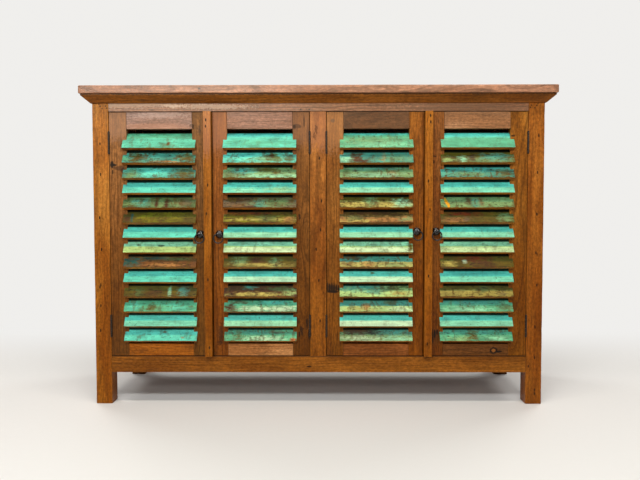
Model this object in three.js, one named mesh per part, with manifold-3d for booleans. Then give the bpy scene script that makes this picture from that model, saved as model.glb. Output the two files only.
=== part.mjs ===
// Louvred door cabinet: a low reclaimed-wood cupboard with two pairs of louvred doors.
// Millimetres, +Z up. The origin is on the floor under the middle of the top, and the doors face -Y.
import * as THREE from 'three';
import { mergeVertices } from 'three/addons/utils/BufferGeometryUtils.js';
import Module from 'manifold-3d';

const wasm = await Module();
wasm.setup();

// Overall size, and the clearances that every joint and cut shares
const overall = { width: 1500, depth: 450, height: 1015 };
const seatGap = 0.3;
const overrun = 2;

// Top board and the moulding under its front and sides
const top = { thickness: 25, overhang: 32, arris: 2.5 };
const cornice = { height: 26, lip: 5, outset: 27, toe: 4 };

// Corner posts, front rails and the post between the two pairs of doors
const post = { width: 51, depth: 52, arris: 2 };
const frieze = { depth: 52, thickness: 25 };
const bottomRail = { clearance: 102.6, depth: 52, thickness: 25 };
const mullion = { width: 51, thickness: 30, tenon: 20 };
const tenon = { length: 30, thickness: 10, shoulder: 8 };

// Sides and back: a thinner field between two rails, tongued into the posts
const wall = { thickness: 24, setback: 2, field: 8, rail: 60, tongue: 8, tongueThickness: 10 };

// Floor, shelves and the board between the two compartments
const board = { thickness: 18, housing: 5, floorDrop: 3, shelfSetback: 5 };
const partition = { thickness: 20 };
const shelf = { height: 545 };

// Doors
const door = { thickness: 28, gap: 2, meetingGap: 2.5, topRail: 53, bottomRail: 39 };
const stile = { outerHinge: 55, innerHinge: 53, outerLock: 62.5, innerLock: 45.5 };
const doorTenon = { length: 28, thickness: 9, shoulder: 8 };
const coverStrip = { width: 24, thickness: 20, arris: 1.5 };

// Louvre slats
const slat = {
  count: 14, width: 58, thickness: 12, slopeDegrees: 59.4, proud: 15.8, housing: 11.5,
  topReveal: 11, bottomReveal: 5.9,
};

// Butt hinges
const hinge = {
  length: 70, inset: 61.5, knuckles: 5, barrelRadius: 3, pinRadius: 1.5, leafThickness: 1.8, leafWidth: 22,
  axisProud: 1.5, headRadius: 2.5, headHeight: 1.4, sides: 12, running: 0.35,
};

// Ring pulls
const pull = {
  leftHeight: 548, rightHeight: 556.5, roseRadius: 13, roseEdge: 2, roseRise: 11, innerInset: 20, eyeRise: 2.5,
  lugThickness: 5, lugRadius: 5, eyeRadius: 2.5, ringRadius: 14.75, wireRadius: 1.75, ringClearance: 1.2,
  sides: 20, ringSteps: 24, wireSides: 8, domeSteps: 4, eyeSides: 10,
};

// Places worked out from the sizes above
const halfWidth = overall.width / 2 - top.overhang;
const frontY = -overall.depth / 2 + top.overhang;
const backY = overall.depth / 2;
const topUnderside = overall.height - top.thickness;
const carcassTop = topUnderside - seatGap;
const postInnerX = halfWidth - post.width;
const postBackY = frontY + post.depth;
const rearPostFrontY = backY - post.depth;
const friezeBottom = topUnderside - frieze.depth;
const railTop = bottomRail.clearance + bottomRail.depth;
const doorBottom = railTop + door.gap;
const doorTop = friezeBottom - door.gap;
const wallOuterX = halfWidth - wall.setback;
const wallInnerX = wallOuterX - wall.thickness;
const backOuterY = backY - wall.setback;
const backInnerY = backOuterY - wall.thickness;
const floorTop = railTop - board.floorDrop;
const floorBottom = floorTop - board.thickness;
const bayWidth = postInnerX - mullion.width / 2;
const outerHingeX = postInnerX - door.gap / 2;
const innerHingeX = mullion.width / 2 + door.gap / 2;
const hingeY = frontY - hinge.axisProud;
const stileTotal = stile.outerHinge + stile.innerHinge + stile.outerLock + stile.innerLock;
const louvreWidth = (bayWidth - 2 * door.gap - door.meetingGap - stileTotal) / 2;

const group = new THREE.Group();
group.name = 'louvred_door_cabinet';

// Materials
function wood(color) {
  return () => new THREE.MeshStandardMaterial({ color, roughness: 0.45, metalness: 0 });
}
const honeyWood = wood('#9a6230');
const darkWood = wood('#6f4520');
const doorWood = wood('#8a5a34');
const innerWood = wood('#5d4128');
const paintedWood = wood('#86bda0');
const blackIron = () => new THREE.MeshStandardMaterial({ color: '#2a2828', roughness: 0.5, metalness: 0.8 });

// Closed three.js geometry to a solid, and back
function solid(geometry) {
  geometry.deleteAttribute('normal');
  geometry.deleteAttribute('uv');
  const merged = mergeVertices(geometry);
  const mesh = new wasm.Mesh({
    numProp: 3,
    vertProperties: new Float32Array(merged.attributes.position.array),
    triVerts: new Uint32Array(merged.index.array),
  });
  return new wasm.Manifold(mesh);
}

function toGeometry(shape) {
  const mesh = shape.getMesh();
  const geometry = new THREE.BufferGeometry();
  geometry.setAttribute('position', new THREE.BufferAttribute(mesh.vertProperties, 3));
  geometry.setIndex(new THREE.BufferAttribute(mesh.triVerts, 1));
  return geometry;
}

function shifted(shape, x, y, z) {
  return solid(toGeometry(shape).translate(x, y, z));
}

// The same solid seen in a mirror at x = 0, with its faces turned over so that they still point out
function mirrored(shape) {
  const geometry = toGeometry(shape).scale(-1, 1, 1);
  const index = geometry.index;
  for (let i = 0; i < index.count; i += 3) {
    const first = index.getX(i);
    index.setX(i, index.getX(i + 1));
    index.setX(i + 1, first);
  }
  return solid(geometry);
}

function onSide(side, rightShape) {
  return side > 0 ? rightShape : mirrored(rightShape);
}

function addPiece(parent, name, shape, material, place = [0, 0, 0]) {
  const geometry = toGeometry(shape).toNonIndexed();
  geometry.computeVertexNormals();
  const mesh = new THREE.Mesh(geometry, material());
  mesh.name = name;
  mesh.position.set(...place);
  parent.add(mesh);
  return mesh;
}

// A block between two x, two y and two z values, given in either order
function block(x0, x1, y0, y1, z0, z1) {
  const geometry = new THREE.BoxGeometry(Math.abs(x1 - x0), Math.abs(y1 - y0), Math.abs(z1 - z0));
  geometry.translate((x0 + x1) / 2, (y0 + y1) / 2, (z0 + z1) / 2);
  return solid(geometry);
}

// The same block with every arris planed off
function easedBlock(x0, x1, y0, y1, z0, z1, arris) {
  const left = Math.min(x0, x1);
  const right = Math.max(x0, x1);
  const near = Math.min(y0, y1);
  const far = Math.max(y0, y1);
  const outline = [
    [left + 2 * arris, near + arris], [right - 2 * arris, near + arris],
    [right - arris, near + 2 * arris], [right - arris, far - 2 * arris],
    [right - 2 * arris, far - arris], [left + 2 * arris, far - arris],
    [left + arris, far - 2 * arris], [left + arris, near + 2 * arris],
  ];
  const shape = new THREE.Shape(outline.map(([x, y]) => new THREE.Vector2(x, y)));
  const geometry = new THREE.ExtrudeGeometry(shape, {
    depth: Math.abs(z1 - z0) - 2 * arris, bevelEnabled: true, bevelSegments: 1,
    bevelSize: arris, bevelThickness: arris, curveSegments: 1,
  });
  geometry.translate(0, 0, Math.min(z0, z1) + arris);
  return solid(geometry);
}

// An outline drawn in two axes and pushed along the third
function prism(points, length) {
  const shape = new THREE.Shape(points.map(([u, v]) => new THREE.Vector2(u, v)));
  return new THREE.ExtrudeGeometry(shape, { depth: length, bevelEnabled: false });
}

// Upright cylinder centred on x, y between two heights
function upright(radius, x, y, z0, z1, sides) {
  const geometry = new THREE.CylinderGeometry(radius, radius, z1 - z0, sides);
  geometry.rotateX(Math.PI / 2);
  geometry.translate(x, y, (z0 + z1) / 2);
  return solid(geometry);
}

// Tenon on a rail end, and the mortise that takes it; direction is the way the tenon points along x
function railTenon(x, direction, size, yMiddle, z0, z1) {
  const y0 = yMiddle - size.thickness / 2;
  const y1 = yMiddle + size.thickness / 2;
  const low = z0 + size.shoulder;
  const high = z1 - size.shoulder;
  return block(x - direction * overrun, x + direction * size.length, y0, y1, low, high);
}

function railMortise(x, direction, size, yMiddle, z0, z1) {
  const y0 = yMiddle - size.thickness / 2 - seatGap;
  const y1 = yMiddle + size.thickness / 2 + seatGap;
  const low = z0 + size.shoulder - seatGap;
  const high = z1 - size.shoulder + seatGap;
  return block(x - direction * overrun, x + direction * (size.length + seatGap), y0, y1, low, high);
}

// Hinge shapes, about an upright axis at x = 0, y = 0; hand is +1 when the door lies on the +x side
const knuckleLength = hinge.length / hinge.knuckles;

function hingeHeights() {
  const rise = hinge.inset + hinge.length / 2;
  return { upper: doorTop - rise, lower: doorBottom + rise };
}

function knuckleStack(zMiddle, first, inset, radius) {
  let stack = null;
  for (let i = first; i < hinge.knuckles; i += 2) {
    const z0 = zMiddle - hinge.length / 2 + i * knuckleLength + inset;
    const z1 = z0 + knuckleLength - 2 * inset;
    const knuckle = upright(radius, 0, 0, z0, z1, hinge.sides);
    stack = stack ? stack.add(knuckle) : knuckle;
  }
  return stack;
}

function leafPlate(side, zMiddle) {
  const face = side * door.gap / 2;
  const back = face + side * hinge.leafThickness;
  const z0 = zMiddle - hinge.length / 2 + seatGap / 2;
  const z1 = zMiddle + hinge.length / 2 - seatGap / 2;
  return block(face, back, 0, hinge.axisProud + hinge.leafWidth, z0, z1);
}

// Frame leaf: outer and middle knuckles, with the pin and its two heads
function frameLeaf(hand, zMiddle) {
  const half = hinge.length / 2;
  const clear = knuckleStack(zMiddle, 1, -seatGap / 2, hinge.barrelRadius + hinge.running);
  const pinTop = zMiddle + half + hinge.headHeight;
  const pinBottom = zMiddle - half - hinge.headHeight;
  return leafPlate(-hand, zMiddle)
    .subtract(clear)
    .add(knuckleStack(zMiddle, 0, seatGap / 2, hinge.barrelRadius))
    .add(upright(hinge.pinRadius, 0, 0, pinBottom, pinTop, hinge.sides))
    .add(upright(hinge.headRadius, 0, 0, zMiddle + half - overrun, pinTop, hinge.sides))
    .add(upright(hinge.headRadius, 0, 0, pinBottom, zMiddle - half + overrun, hinge.sides));
}

// Door leaf: the two knuckles between, bored for the pin
function doorLeaf(hand, zMiddle) {
  const half = hinge.length / 2;
  const clear = knuckleStack(zMiddle, 0, -seatGap / 2, hinge.barrelRadius + hinge.running);
  const boreRadius = hinge.pinRadius + hinge.running;
  const bore = upright(boreRadius, 0, 0, zMiddle - half - overrun, zMiddle + half + overrun, hinge.sides);
  return leafPlate(hand, zMiddle)
    .subtract(clear)
    .add(knuckleStack(zMiddle, 1, seatGap / 2, hinge.barrelRadius))
    .subtract(bore);
}

// Room for one leaf and for the barrel, cut in the wood on the side that the sign gives
function hingeCut(side, zMiddle) {
  const half = hinge.length / 2;
  const deep = side * (door.gap / 2 + hinge.leafThickness + seatGap);
  const leafRoom = block(
    0, deep, 0, hinge.axisProud + hinge.leafWidth + seatGap, zMiddle - half - seatGap, zMiddle + half + seatGap,
  );
  const reach = half + hinge.headHeight + seatGap;
  return leafRoom.add(
    upright(hinge.barrelRadius + hinge.running, 0, 0, zMiddle - reach, zMiddle + reach, hinge.sides),
  );
}

// Both hinge cuts of one door, moved to its axis
function hingeCuts(axisX, axisY, side) {
  const { upper, lower } = hingeHeights();
  return shifted(hingeCut(side, upper).add(hingeCut(side, lower)), axisX, axisY, 0);
}

// Top board
function topBoard() {
  const half = overall.width / 2;
  return easedBlock(-half, half, -overall.depth / 2, backY, topUnderside, overall.height, top.arris);
}

// Cornice moulding: a sloping face under a narrow lip, mitred at the front corners
const corniceProfile = [
  [seatGap, 0], [cornice.toe, 0], [cornice.outset, cornice.height - cornice.lip],
  [cornice.outset, cornice.height - seatGap], [seatGap, cornice.height - seatGap],
];

// What the mitre takes off the right end of the front moulding, or off the front end of the right one
function mitreCut(fromFront) {
  const reach = cornice.outset + overrun;
  const gap = fromFront ? -seatGap / 2 : seatGap / 2;
  const spareX = halfWidth + (fromFront ? reach + overrun : -2 * overrun);
  const outline = [
    [halfWidth + gap - overrun, frontY + overrun], [halfWidth + gap + reach, frontY - reach],
    [spareX, frontY - reach], [spareX, frontY + overrun],
  ];
  const ordered = fromFront ? outline : outline.reverse();
  const tall = cornice.height + 2 * overrun;
  return solid(prism(ordered, tall).translate(0, 0, topUnderside - cornice.height - overrun));
}

function corniceFront() {
  const length = 2 * (halfWidth + cornice.outset);
  const geometry = prism(corniceProfile, length);
  geometry.rotateX(Math.PI / 2);
  geometry.rotateZ(-Math.PI / 2);
  geometry.translate(length / 2, frontY, topUnderside - cornice.height);
  return solid(geometry).subtract(mitreCut(true)).subtract(mirrored(mitreCut(true)));
}

function corniceSide(side) {
  const length = backY - frontY + cornice.outset;
  const geometry = prism(corniceProfile, length);
  geometry.rotateX(Math.PI / 2);
  geometry.translate(halfWidth, backY, topUnderside - cornice.height);
  return onSide(side, solid(geometry).subtract(mitreCut(false)));
}

// Posts
function wallGroove(x, y, direction) {
  const half = wall.tongueThickness / 2 + seatGap;
  return block(
    x - half, x + half, y - direction * overrun, y + direction * (wall.tongue + seatGap),
    bottomRail.clearance - seatGap, topUnderside + overrun,
  );
}

function frontPost(side) {
  const inner = side * postInnerX;
  const outer = side * halfWidth;
  const middleY = frontY + frieze.thickness / 2;
  const sideTongueX = side * (wallInnerX + wall.tongueThickness / 2 + wall.setback);
  return easedBlock(inner, outer, frontY, postBackY, 0, carcassTop, post.arris)
    .subtract(railMortise(inner, side, tenon, middleY, friezeBottom, carcassTop))
    .subtract(railMortise(inner, side, tenon, middleY, bottomRail.clearance, railTop))
    .subtract(wallGroove(sideTongueX, postBackY, -1))
    .subtract(hingeCuts(side * outerHingeX, hingeY, side));
}

function rearPost(side) {
  const inner = side * postInnerX;
  const outer = side * halfWidth;
  const half = wall.tongueThickness / 2 + seatGap;
  const sideTongueX = side * (wallInnerX + wall.tongueThickness / 2 + wall.setback);
  const backTongueY = backInnerY + wall.tongueThickness / 2 + wall.setback;
  const backGroove = block(
    inner - side * overrun, inner + side * (wall.tongue + seatGap), backTongueY - half, backTongueY + half,
    bottomRail.clearance - seatGap, topUnderside + overrun,
  );
  return easedBlock(inner, outer, rearPostFrontY, backY, 0, carcassTop, post.arris)
    .subtract(wallGroove(sideTongueX, rearPostFrontY, 1))
    .subtract(backGroove);
}

// Front rails, tenoned into the posts, with mortises for the mullion
function frontRail(z0, z1, mullionEnd, thickness) {
  const end = postInnerX - seatGap;
  const middleY = frontY + thickness / 2;
  const halfWidthIn = mullion.width / 2 - tenon.shoulder + seatGap;
  const halfThick = tenon.thickness / 2 + seatGap;
  const inward = mullionEnd === z0 ? 1 : -1;
  const mortise = block(
    -halfWidthIn, halfWidthIn, middleY - halfThick, middleY + halfThick,
    mullionEnd - inward * overrun, mullionEnd + inward * (mullion.tenon + seatGap),
  );
  return block(-end, end, frontY, frontY + thickness, z0, z1)
    .add(railTenon(end, 1, tenon, middleY, z0, z1))
    .add(railTenon(-end, -1, tenon, middleY, z0, z1))
    .subtract(mortise);
}

function bottomRailFront() {
  const rail = frontRail(bottomRail.clearance, railTop, railTop, bottomRail.thickness);
  const back = frontY + bottomRail.thickness;
  const groove = block(
    -postInnerX, postInnerX, back - board.housing - seatGap, back + overrun,
    floorBottom - seatGap, floorTop + seatGap,
  );
  return rail.subtract(groove);
}

// Mullion between the pairs of doors
function centreMullion() {
  const half = mullion.width / 2;
  const middleY = frontY + frieze.thickness / 2;
  const tenonHalf = half - tenon.shoulder;
  const y0 = middleY - tenon.thickness / 2;
  const y1 = middleY + tenon.thickness / 2;
  return block(-half, half, frontY, frontY + mullion.thickness, railTop + seatGap, friezeBottom - seatGap)
    .add(block(-tenonHalf, tenonHalf, y0, y1, railTop - mullion.tenon, friezeBottom + mullion.tenon))
    .subtract(hingeCuts(-innerHingeX, hingeY, 1))
    .subtract(hingeCuts(innerHingeX, hingeY, -1));
}

// Side and back walls: outline across the thickness, with the field set back between the rails
function wallProfile() {
  const low = bottomRail.clearance;
  const high = carcassTop;
  return [
    [0, low], [wall.thickness, low], [wall.thickness, low + wall.rail],
    [wall.thickness - wall.field, low + wall.rail + wall.field],
    [wall.thickness - wall.field, high - wall.rail - wall.field], [wall.thickness, high - wall.rail],
    [wall.thickness, high], [0, high],
  ];
}

// Wall with its inner face at x = 0, centred along y, and its tongues past both ends
function plainWall(length) {
  const geometry = prism(wallProfile(), length);
  geometry.rotateX(Math.PI / 2);
  geometry.translate(0, length / 2, 0);
  const half = length / 2 + wall.tongue;
  const start = wall.setback;
  return solid(geometry).add(
    block(start, start + wall.tongueThickness, -half, half, bottomRail.clearance, carcassTop),
  );
}

function sidePanel(side) {
  const start = postBackY + seatGap;
  const end = rearPostFrontY - seatGap;
  const floorGroove = block(
    wallInnerX - overrun, wallInnerX + board.housing + seatGap, start - overrun, end + overrun,
    floorBottom - seatGap, floorTop + seatGap,
  );
  const shelfGroove = block(
    wallInnerX - overrun, wallInnerX + board.housing + seatGap,
    postBackY + board.shelfSetback - seatGap, end + overrun,
    shelf.height - board.thickness - seatGap, shelf.height + seatGap,
  );
  const panel = shifted(plainWall(end - start), wallInnerX, (start + end) / 2, 0)
    .subtract(floorGroove)
    .subtract(shelfGroove);
  return onSide(side, panel);
}

function backPanel() {
  const end = postInnerX - seatGap;
  const floorGroove = block(
    -end - overrun, end + overrun, backInnerY - overrun, backInnerY + board.housing + seatGap,
    floorBottom - seatGap, floorTop + seatGap,
  );
  const across = toGeometry(plainWall(2 * end)).rotateZ(Math.PI / 2).translate(0, backInnerY, 0);
  return solid(across).subtract(floorGroove);
}

// Cabinet floor, notched round the posts and let into the walls and the front rail
function floorBoard() {
  const wide = wallInnerX + board.housing;
  const narrow = postInnerX - seatGap;
  const near = frontY + bottomRail.thickness - board.housing;
  const far = backInnerY + board.housing;
  const nearNotch = postBackY + seatGap;
  const farNotch = rearPostFrontY - seatGap;
  const outline = [
    [-narrow, near], [narrow, near], [narrow, nearNotch], [wide, nearNotch], [wide, farNotch],
    [narrow, farNotch], [narrow, far], [-narrow, far], [-narrow, farNotch], [-wide, farNotch],
    [-wide, nearNotch], [-narrow, nearNotch],
  ];
  const geometry = prism(outline, board.thickness).translate(0, 0, floorBottom);
  const half = partition.thickness / 2 + seatGap;
  const groove = block(
    -half, half, frontY + mullion.thickness, far + overrun, floorTop - board.housing - seatGap, floorTop + overrun,
  );
  return solid(geometry).subtract(groove);
}

// Board between the compartments, with housings for both shelves
function centrePartition() {
  const half = partition.thickness / 2;
  const near = frontY + mullion.thickness + seatGap;
  const far = backInnerY - seatGap;
  const upright = block(-half, half, near, far, floorTop - board.housing, carcassTop);
  const housings = [-1, 1].map((side) => block(
    side * (half - board.housing - seatGap), side * (half + overrun),
    postBackY + board.shelfSetback - seatGap, far + overrun,
    shelf.height - board.thickness - seatGap, shelf.height + seatGap,
  ));
  return upright.subtract(housings[0]).subtract(housings[1]);
}

function shelfBoard(side) {
  const inner = partition.thickness / 2 - board.housing;
  const outer = wallInnerX + board.housing;
  const near = postBackY + board.shelfSetback;
  const notchX = postInnerX - seatGap;
  const notchY = rearPostFrontY - seatGap;
  const far = backInnerY - seatGap;
  const outline = [[inner, near], [outer, near], [outer, notchY], [notchX, notchY], [notchX, far], [inner, far]];
  const geometry = prism(outline, board.thickness).translate(0, 0, shelf.height - board.thickness);
  return onSide(side, solid(geometry));
}

// Louvre slats: all heights and places follow the opening between the door rails
const slope = THREE.MathUtils.degToRad(slat.slopeDegrees);
const openingTop = doorTop - door.topRail;
const openingBottom = doorBottom + door.bottomRail;
const firstSlatZ = openingTop - slat.topReveal - slat.width * Math.sin(slope);
const lastSlatZ = openingBottom + slat.bottomReveal + slat.thickness * Math.cos(slope);
const slatPitch = (firstSlatZ - lastSlatZ) / (slat.count - 1);

// One slat in the door's frame: x across, y = axisProud at the stile's face; grow widens it for a slot
function slatBar(index, x0, x1, grow) {
  const lowerZ = firstSlatZ - index * slatPitch;
  const geometry = new THREE.BoxGeometry(Math.abs(x1 - x0), slat.width + 2 * grow, slat.thickness + 2 * grow);
  geometry.translate(0, slat.width / 2, -slat.thickness / 2);
  geometry.rotateX(slope);
  geometry.translate((x0 + x1) / 2, hinge.axisProud - slat.proud, lowerZ);
  return solid(geometry);
}

// One door, built about its hinge axis and placed there; hand is +1 when it lies on the +x side of the axis
function addDoor(number, axisX, hand, outer, pullHeight) {
  const hingeStile = outer ? stile.outerHinge : stile.innerHinge;
  const lockStile = outer ? stile.outerLock : stile.innerLock;
  const edge = door.gap / 2;
  const louvreStart = edge + hingeStile;
  const louvreEnd = louvreStart + louvreWidth;
  const closing = louvreEnd + lockStile;
  const face = hinge.axisProud;
  const back = face + door.thickness;
  const middle = face + door.thickness / 2;
  const name = (piece) => `door_${number}_${piece}`;
  const axis = new THREE.Group();
  axis.position.set(axisX, hingeY, 0);
  group.add(axis);

  const mortises = (x, direction) => railMortise(x, direction, doorTenon, middle, openingTop, doorTop)
    .add(railMortise(x, direction, doorTenon, middle, doorBottom, openingBottom));

  // Hinge stile with its row of slats
  let comb = block(hand * edge, hand * louvreStart, face, back, doorBottom, doorTop)
    .subtract(mortises(hand * louvreStart, -hand))
    .subtract(hingeCuts(0, 0, hand));
  for (let i = 0; i < slat.count; i += 1) {
    comb = comb.add(slatBar(i, hand * (louvreStart - slat.housing), hand * (louvreEnd + slat.housing), 0));
  }
  addPiece(axis, name('hinge_stile_and_slats'), comb, paintedWood);

  // Lock stile with a slanting slot for each slat
  let lock = block(hand * louvreEnd, hand * closing, face, back, doorBottom, doorTop)
    .subtract(mortises(hand * louvreEnd, hand));
  for (let i = 0; i < slat.count; i += 1) {
    const slotEnd = louvreEnd + slat.housing + seatGap;
    lock = lock.subtract(slatBar(i, hand * (louvreEnd - overrun), hand * slotEnd, seatGap));
  }
  addPiece(axis, name('lock_stile'), lock, doorWood);

  // Rails between the stiles
  const railSpan = [['top_rail', openingTop, doorTop], ['bottom_rail', doorBottom, openingBottom]];
  for (const [piece, z0, z1] of railSpan) {
    const start = louvreStart + seatGap;
    const end = louvreEnd - seatGap;
    const rail = block(hand * start, hand * end, face, back, z0, z1)
      .add(railTenon(hand * end, hand, doorTenon, middle, z0, z1))
      .add(railTenon(hand * start, -hand, doorTenon, middle, z0, z1));
    addPiece(axis, name(piece), rail, doorWood);
  }

  // Cover strip beside the closing edge of the outer doors
  if (outer) {
    const strip = easedBlock(
      hand * (closing - coverStrip.width), hand * closing,
      face - seatGap - coverStrip.thickness, face - seatGap, doorBottom, doorTop, coverStrip.arris,
    );
    addPiece(axis, name('cover_strip'), strip, honeyWood);
  }

  // Door leaves of the two hinges, and the frame leaves that stay on the carcass
  for (const [place, z] of Object.entries(hingeHeights())) {
    addPiece(axis, name(`${place}_hinge_leaf`), doorLeaf(hand, z), blackIron);
    addPiece(axis, `frame_${number}_${place}_hinge_leaf`, frameLeaf(hand, z), blackIron);
  }

  // Ring pull
  const inset = outer ? coverStrip.width + 2 * seatGap + pull.roseRadius : pull.innerInset;
  const handle = new THREE.Group();
  handle.position.set(hand * (closing - inset), face - seatGap, pullHeight);
  axis.add(handle);
  addPiece(handle, name('pull_rose'), pullRose(), blackIron);
  addPiece(handle, name('pull_ring'), pullRing(), blackIron, [0, -eyeOut(), pull.eyeRise]);
}

// Distance from the stile's face to the eye that the ring hangs in
function eyeOut() {
  return coverStrip.thickness + pull.ringClearance + pull.wireRadius;
}

// Domed rose with a lug that is bored across for the ring
function pullRose() {
  const profile = [new THREE.Vector2(0, 0), new THREE.Vector2(pull.roseRadius, 0)];
  for (let i = 0; i < pull.domeSteps; i += 1) {
    const turn = (i / pull.domeSteps) * (Math.PI / 2);
    profile.push(new THREE.Vector2(
      pull.roseRadius * Math.cos(turn), pull.roseEdge + (pull.roseRise - pull.roseEdge) * Math.sin(turn),
    ));
  }
  profile.push(new THREE.Vector2(0, pull.roseRise));
  const dome = new THREE.LatheGeometry(profile, pull.sides);
  dome.rotateX(Math.PI);

  const reach = eyeOut();
  const outline = new THREE.Shape();
  outline.moveTo(-pull.roseEdge, -pull.lugRadius);
  outline.lineTo(-pull.roseEdge, pull.lugRadius);
  outline.lineTo(-reach, pull.lugRadius);
  outline.absarc(-reach, 0, pull.lugRadius, Math.PI / 2, 3 * Math.PI / 2, false);
  outline.closePath();
  const eye = new THREE.Path();
  eye.absarc(-reach, 0, pull.eyeRadius, 0, 2 * Math.PI, true);
  outline.holes.push(eye);
  const lug = new THREE.ExtrudeGeometry(outline, {
    depth: pull.lugThickness, bevelEnabled: false, curveSegments: pull.eyeSides,
  });
  lug.translate(0, 0, -pull.lugThickness / 2);
  lug.rotateY(Math.PI / 2);
  lug.rotateX(Math.PI / 2);
  lug.translate(0, 0, pull.eyeRise);
  return solid(dome).add(solid(lug));
}

// Ring hanging from the eye, with the eye at its origin
function pullRing() {
  const ring = new THREE.TorusGeometry(pull.ringRadius, pull.wireRadius, pull.wireSides, pull.ringSteps);
  ring.rotateX(Math.PI / 2);
  ring.translate(0, 0, -pull.ringRadius);
  return solid(ring);
}

// Assembly
addPiece(group, 'top_board', topBoard(), honeyWood);
addPiece(group, 'cornice_front', corniceFront(), darkWood);
for (const [label, side] of [['left', -1], ['right', 1]]) {
  addPiece(group, `cornice_${label}`, corniceSide(side), darkWood);
  addPiece(group, `post_front_${label}`, frontPost(side), honeyWood);
  addPiece(group, `post_rear_${label}`, rearPost(side), honeyWood);
  addPiece(group, `side_panel_${label}`, sidePanel(side), honeyWood);
  addPiece(group, `shelf_${label}`, shelfBoard(side), innerWood);
}
addPiece(group, 'frieze_rail', frontRail(friezeBottom, carcassTop, friezeBottom, frieze.thickness), honeyWood);
addPiece(group, 'bottom_rail_front', bottomRailFront(), honeyWood);
addPiece(group, 'centre_mullion', centreMullion(), honeyWood);
addPiece(group, 'back_panel', backPanel(), innerWood);
addPiece(group, 'floor_board', floorBoard(), innerWood);
addPiece(group, 'centre_partition', centrePartition(), innerWood);
addDoor(1, -outerHingeX, 1, true, pull.leftHeight);
addDoor(2, -innerHingeX, -1, false, pull.leftHeight);
addDoor(3, innerHingeX, 1, false, pull.rightHeight);
addDoor(4, outerHingeX, -1, true, pull.rightHeight);

export default group;
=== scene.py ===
import math
import random

import bmesh
import bpy
from mathutils import Matrix, Vector, noise


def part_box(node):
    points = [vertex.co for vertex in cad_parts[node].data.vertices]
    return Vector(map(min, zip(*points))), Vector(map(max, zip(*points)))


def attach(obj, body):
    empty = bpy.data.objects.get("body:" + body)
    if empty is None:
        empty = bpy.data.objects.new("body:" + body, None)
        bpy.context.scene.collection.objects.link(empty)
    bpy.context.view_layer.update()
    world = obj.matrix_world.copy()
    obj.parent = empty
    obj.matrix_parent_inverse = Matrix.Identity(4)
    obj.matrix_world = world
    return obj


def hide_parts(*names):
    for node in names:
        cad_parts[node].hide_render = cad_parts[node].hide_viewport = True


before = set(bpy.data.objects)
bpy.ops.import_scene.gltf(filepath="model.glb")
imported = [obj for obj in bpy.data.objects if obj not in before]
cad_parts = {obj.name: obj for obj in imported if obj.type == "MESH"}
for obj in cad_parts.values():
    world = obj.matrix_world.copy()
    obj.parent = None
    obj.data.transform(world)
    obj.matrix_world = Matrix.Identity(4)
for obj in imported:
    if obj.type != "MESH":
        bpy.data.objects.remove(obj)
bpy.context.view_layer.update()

# The studio. The camera faces the doors, a little right of the middle and just above half height. A long lamp hangs
# steeply above the front, a second one hangs behind the camera, and a soft panel to the left of it only puts a sheen
# on the lacquer. Two lamps light the sides and the back, and the floor fades into the pale backdrop.
eye = Vector((0.0189, -2.1341, 0.6079))
yaw, pitch, roll = (math.radians(angle) for angle in (-0.38, 2.308, -0.055))
ahead = Vector((math.sin(yaw) * math.cos(pitch), math.cos(yaw) * math.cos(pitch), -math.sin(pitch)))
level = Vector((math.cos(yaw), -math.sin(yaw), 0))
upward = level.cross(ahead)
across = math.cos(roll) * level + math.sin(roll) * upward
up = -math.sin(roll) * level + math.cos(roll) * upward


def stand(name, data):
    """Puts a new object into the scene."""
    made = bpy.data.objects.new(name, data)
    bpy.context.scene.collection.objects.link(made)
    return made


camera_data = bpy.data.cameras.new("camera")
camera_data.sensor_width = 36
camera_data.sensor_fit = "HORIZONTAL"
camera_data.lens = 34.18
camera = stand("camera", camera_data)
camera.matrix_world = Matrix.Translation(eye) @ Matrix((across, up, -ahead)).transposed().to_4x4()
bpy.context.scene.camera = camera
bpy.context.scene.view_settings.view_transform = "Standard"


def srgb(red, green, blue, share=1.0):
    """A colour as a painter reads it, 0 to 255, in the linear values that shaders take, times a share."""
    def straight(value):
        value /= 255
        return value / 12.92 if value <= 0.04045 else ((value + 0.055) / 1.055) ** 2.4
    return (*(straight(value) * share for value in (red, green, blue)), 1)


def add_node(tree, kind, inputs=None, **settings):
    """Adds a node. An input that is a socket is linked, and any other value is set on its socket."""
    made = tree.nodes.new("ShaderNode" + kind)
    for key, value in settings.items():
        setattr(made, key, value)
    for place, value in (inputs or {}).items():
        if isinstance(value, bpy.types.NodeSocket):
            tree.links.new(value, made.inputs[place])
        else:
            made.inputs[place].default_value = value
    return made


def new_finish(name):
    """A new finish with no nodes but the place on the piece."""
    finish = bpy.data.materials.new(name)
    finish.use_nodes = True
    tree = finish.node_tree
    tree.nodes.clear()
    return finish, tree, add_node(tree, "TexCoord").outputs["Object"]


def reckon(tree, deed, first, second=0.0):
    return add_node(tree, "Math", {0: first, 1: second}, operation=deed).outputs[0]


def reckon_each(tree, deed, first, second):
    """Reckons with the three parts of a place or a colour at once."""
    return add_node(tree, "VectorMath", {0: first, 1: second}, operation=deed).outputs[0]


def length_of(tree, place):
    return add_node(tree, "VectorMath", {0: place}, operation="LENGTH").outputs["Value"]


def uneven(tree, place, scale, detail, rough=0.5):
    """Noise, as a value and as a colour."""
    return add_node(tree, "TexNoise", {"Vector": place, "Scale": scale, "Detail": detail, "Roughness": rough}).outputs


def blend(tree, amount, under, over, share=None):
    """Lays one colour over another by an amount, or by a share of it."""
    if share is not None:
        amount = reckon(tree, "MULTIPLY", amount, share)
    return add_node(tree, "Mix", {0: amount, 6: under, 7: over}, data_type="RGBA").outputs[2]


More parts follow.
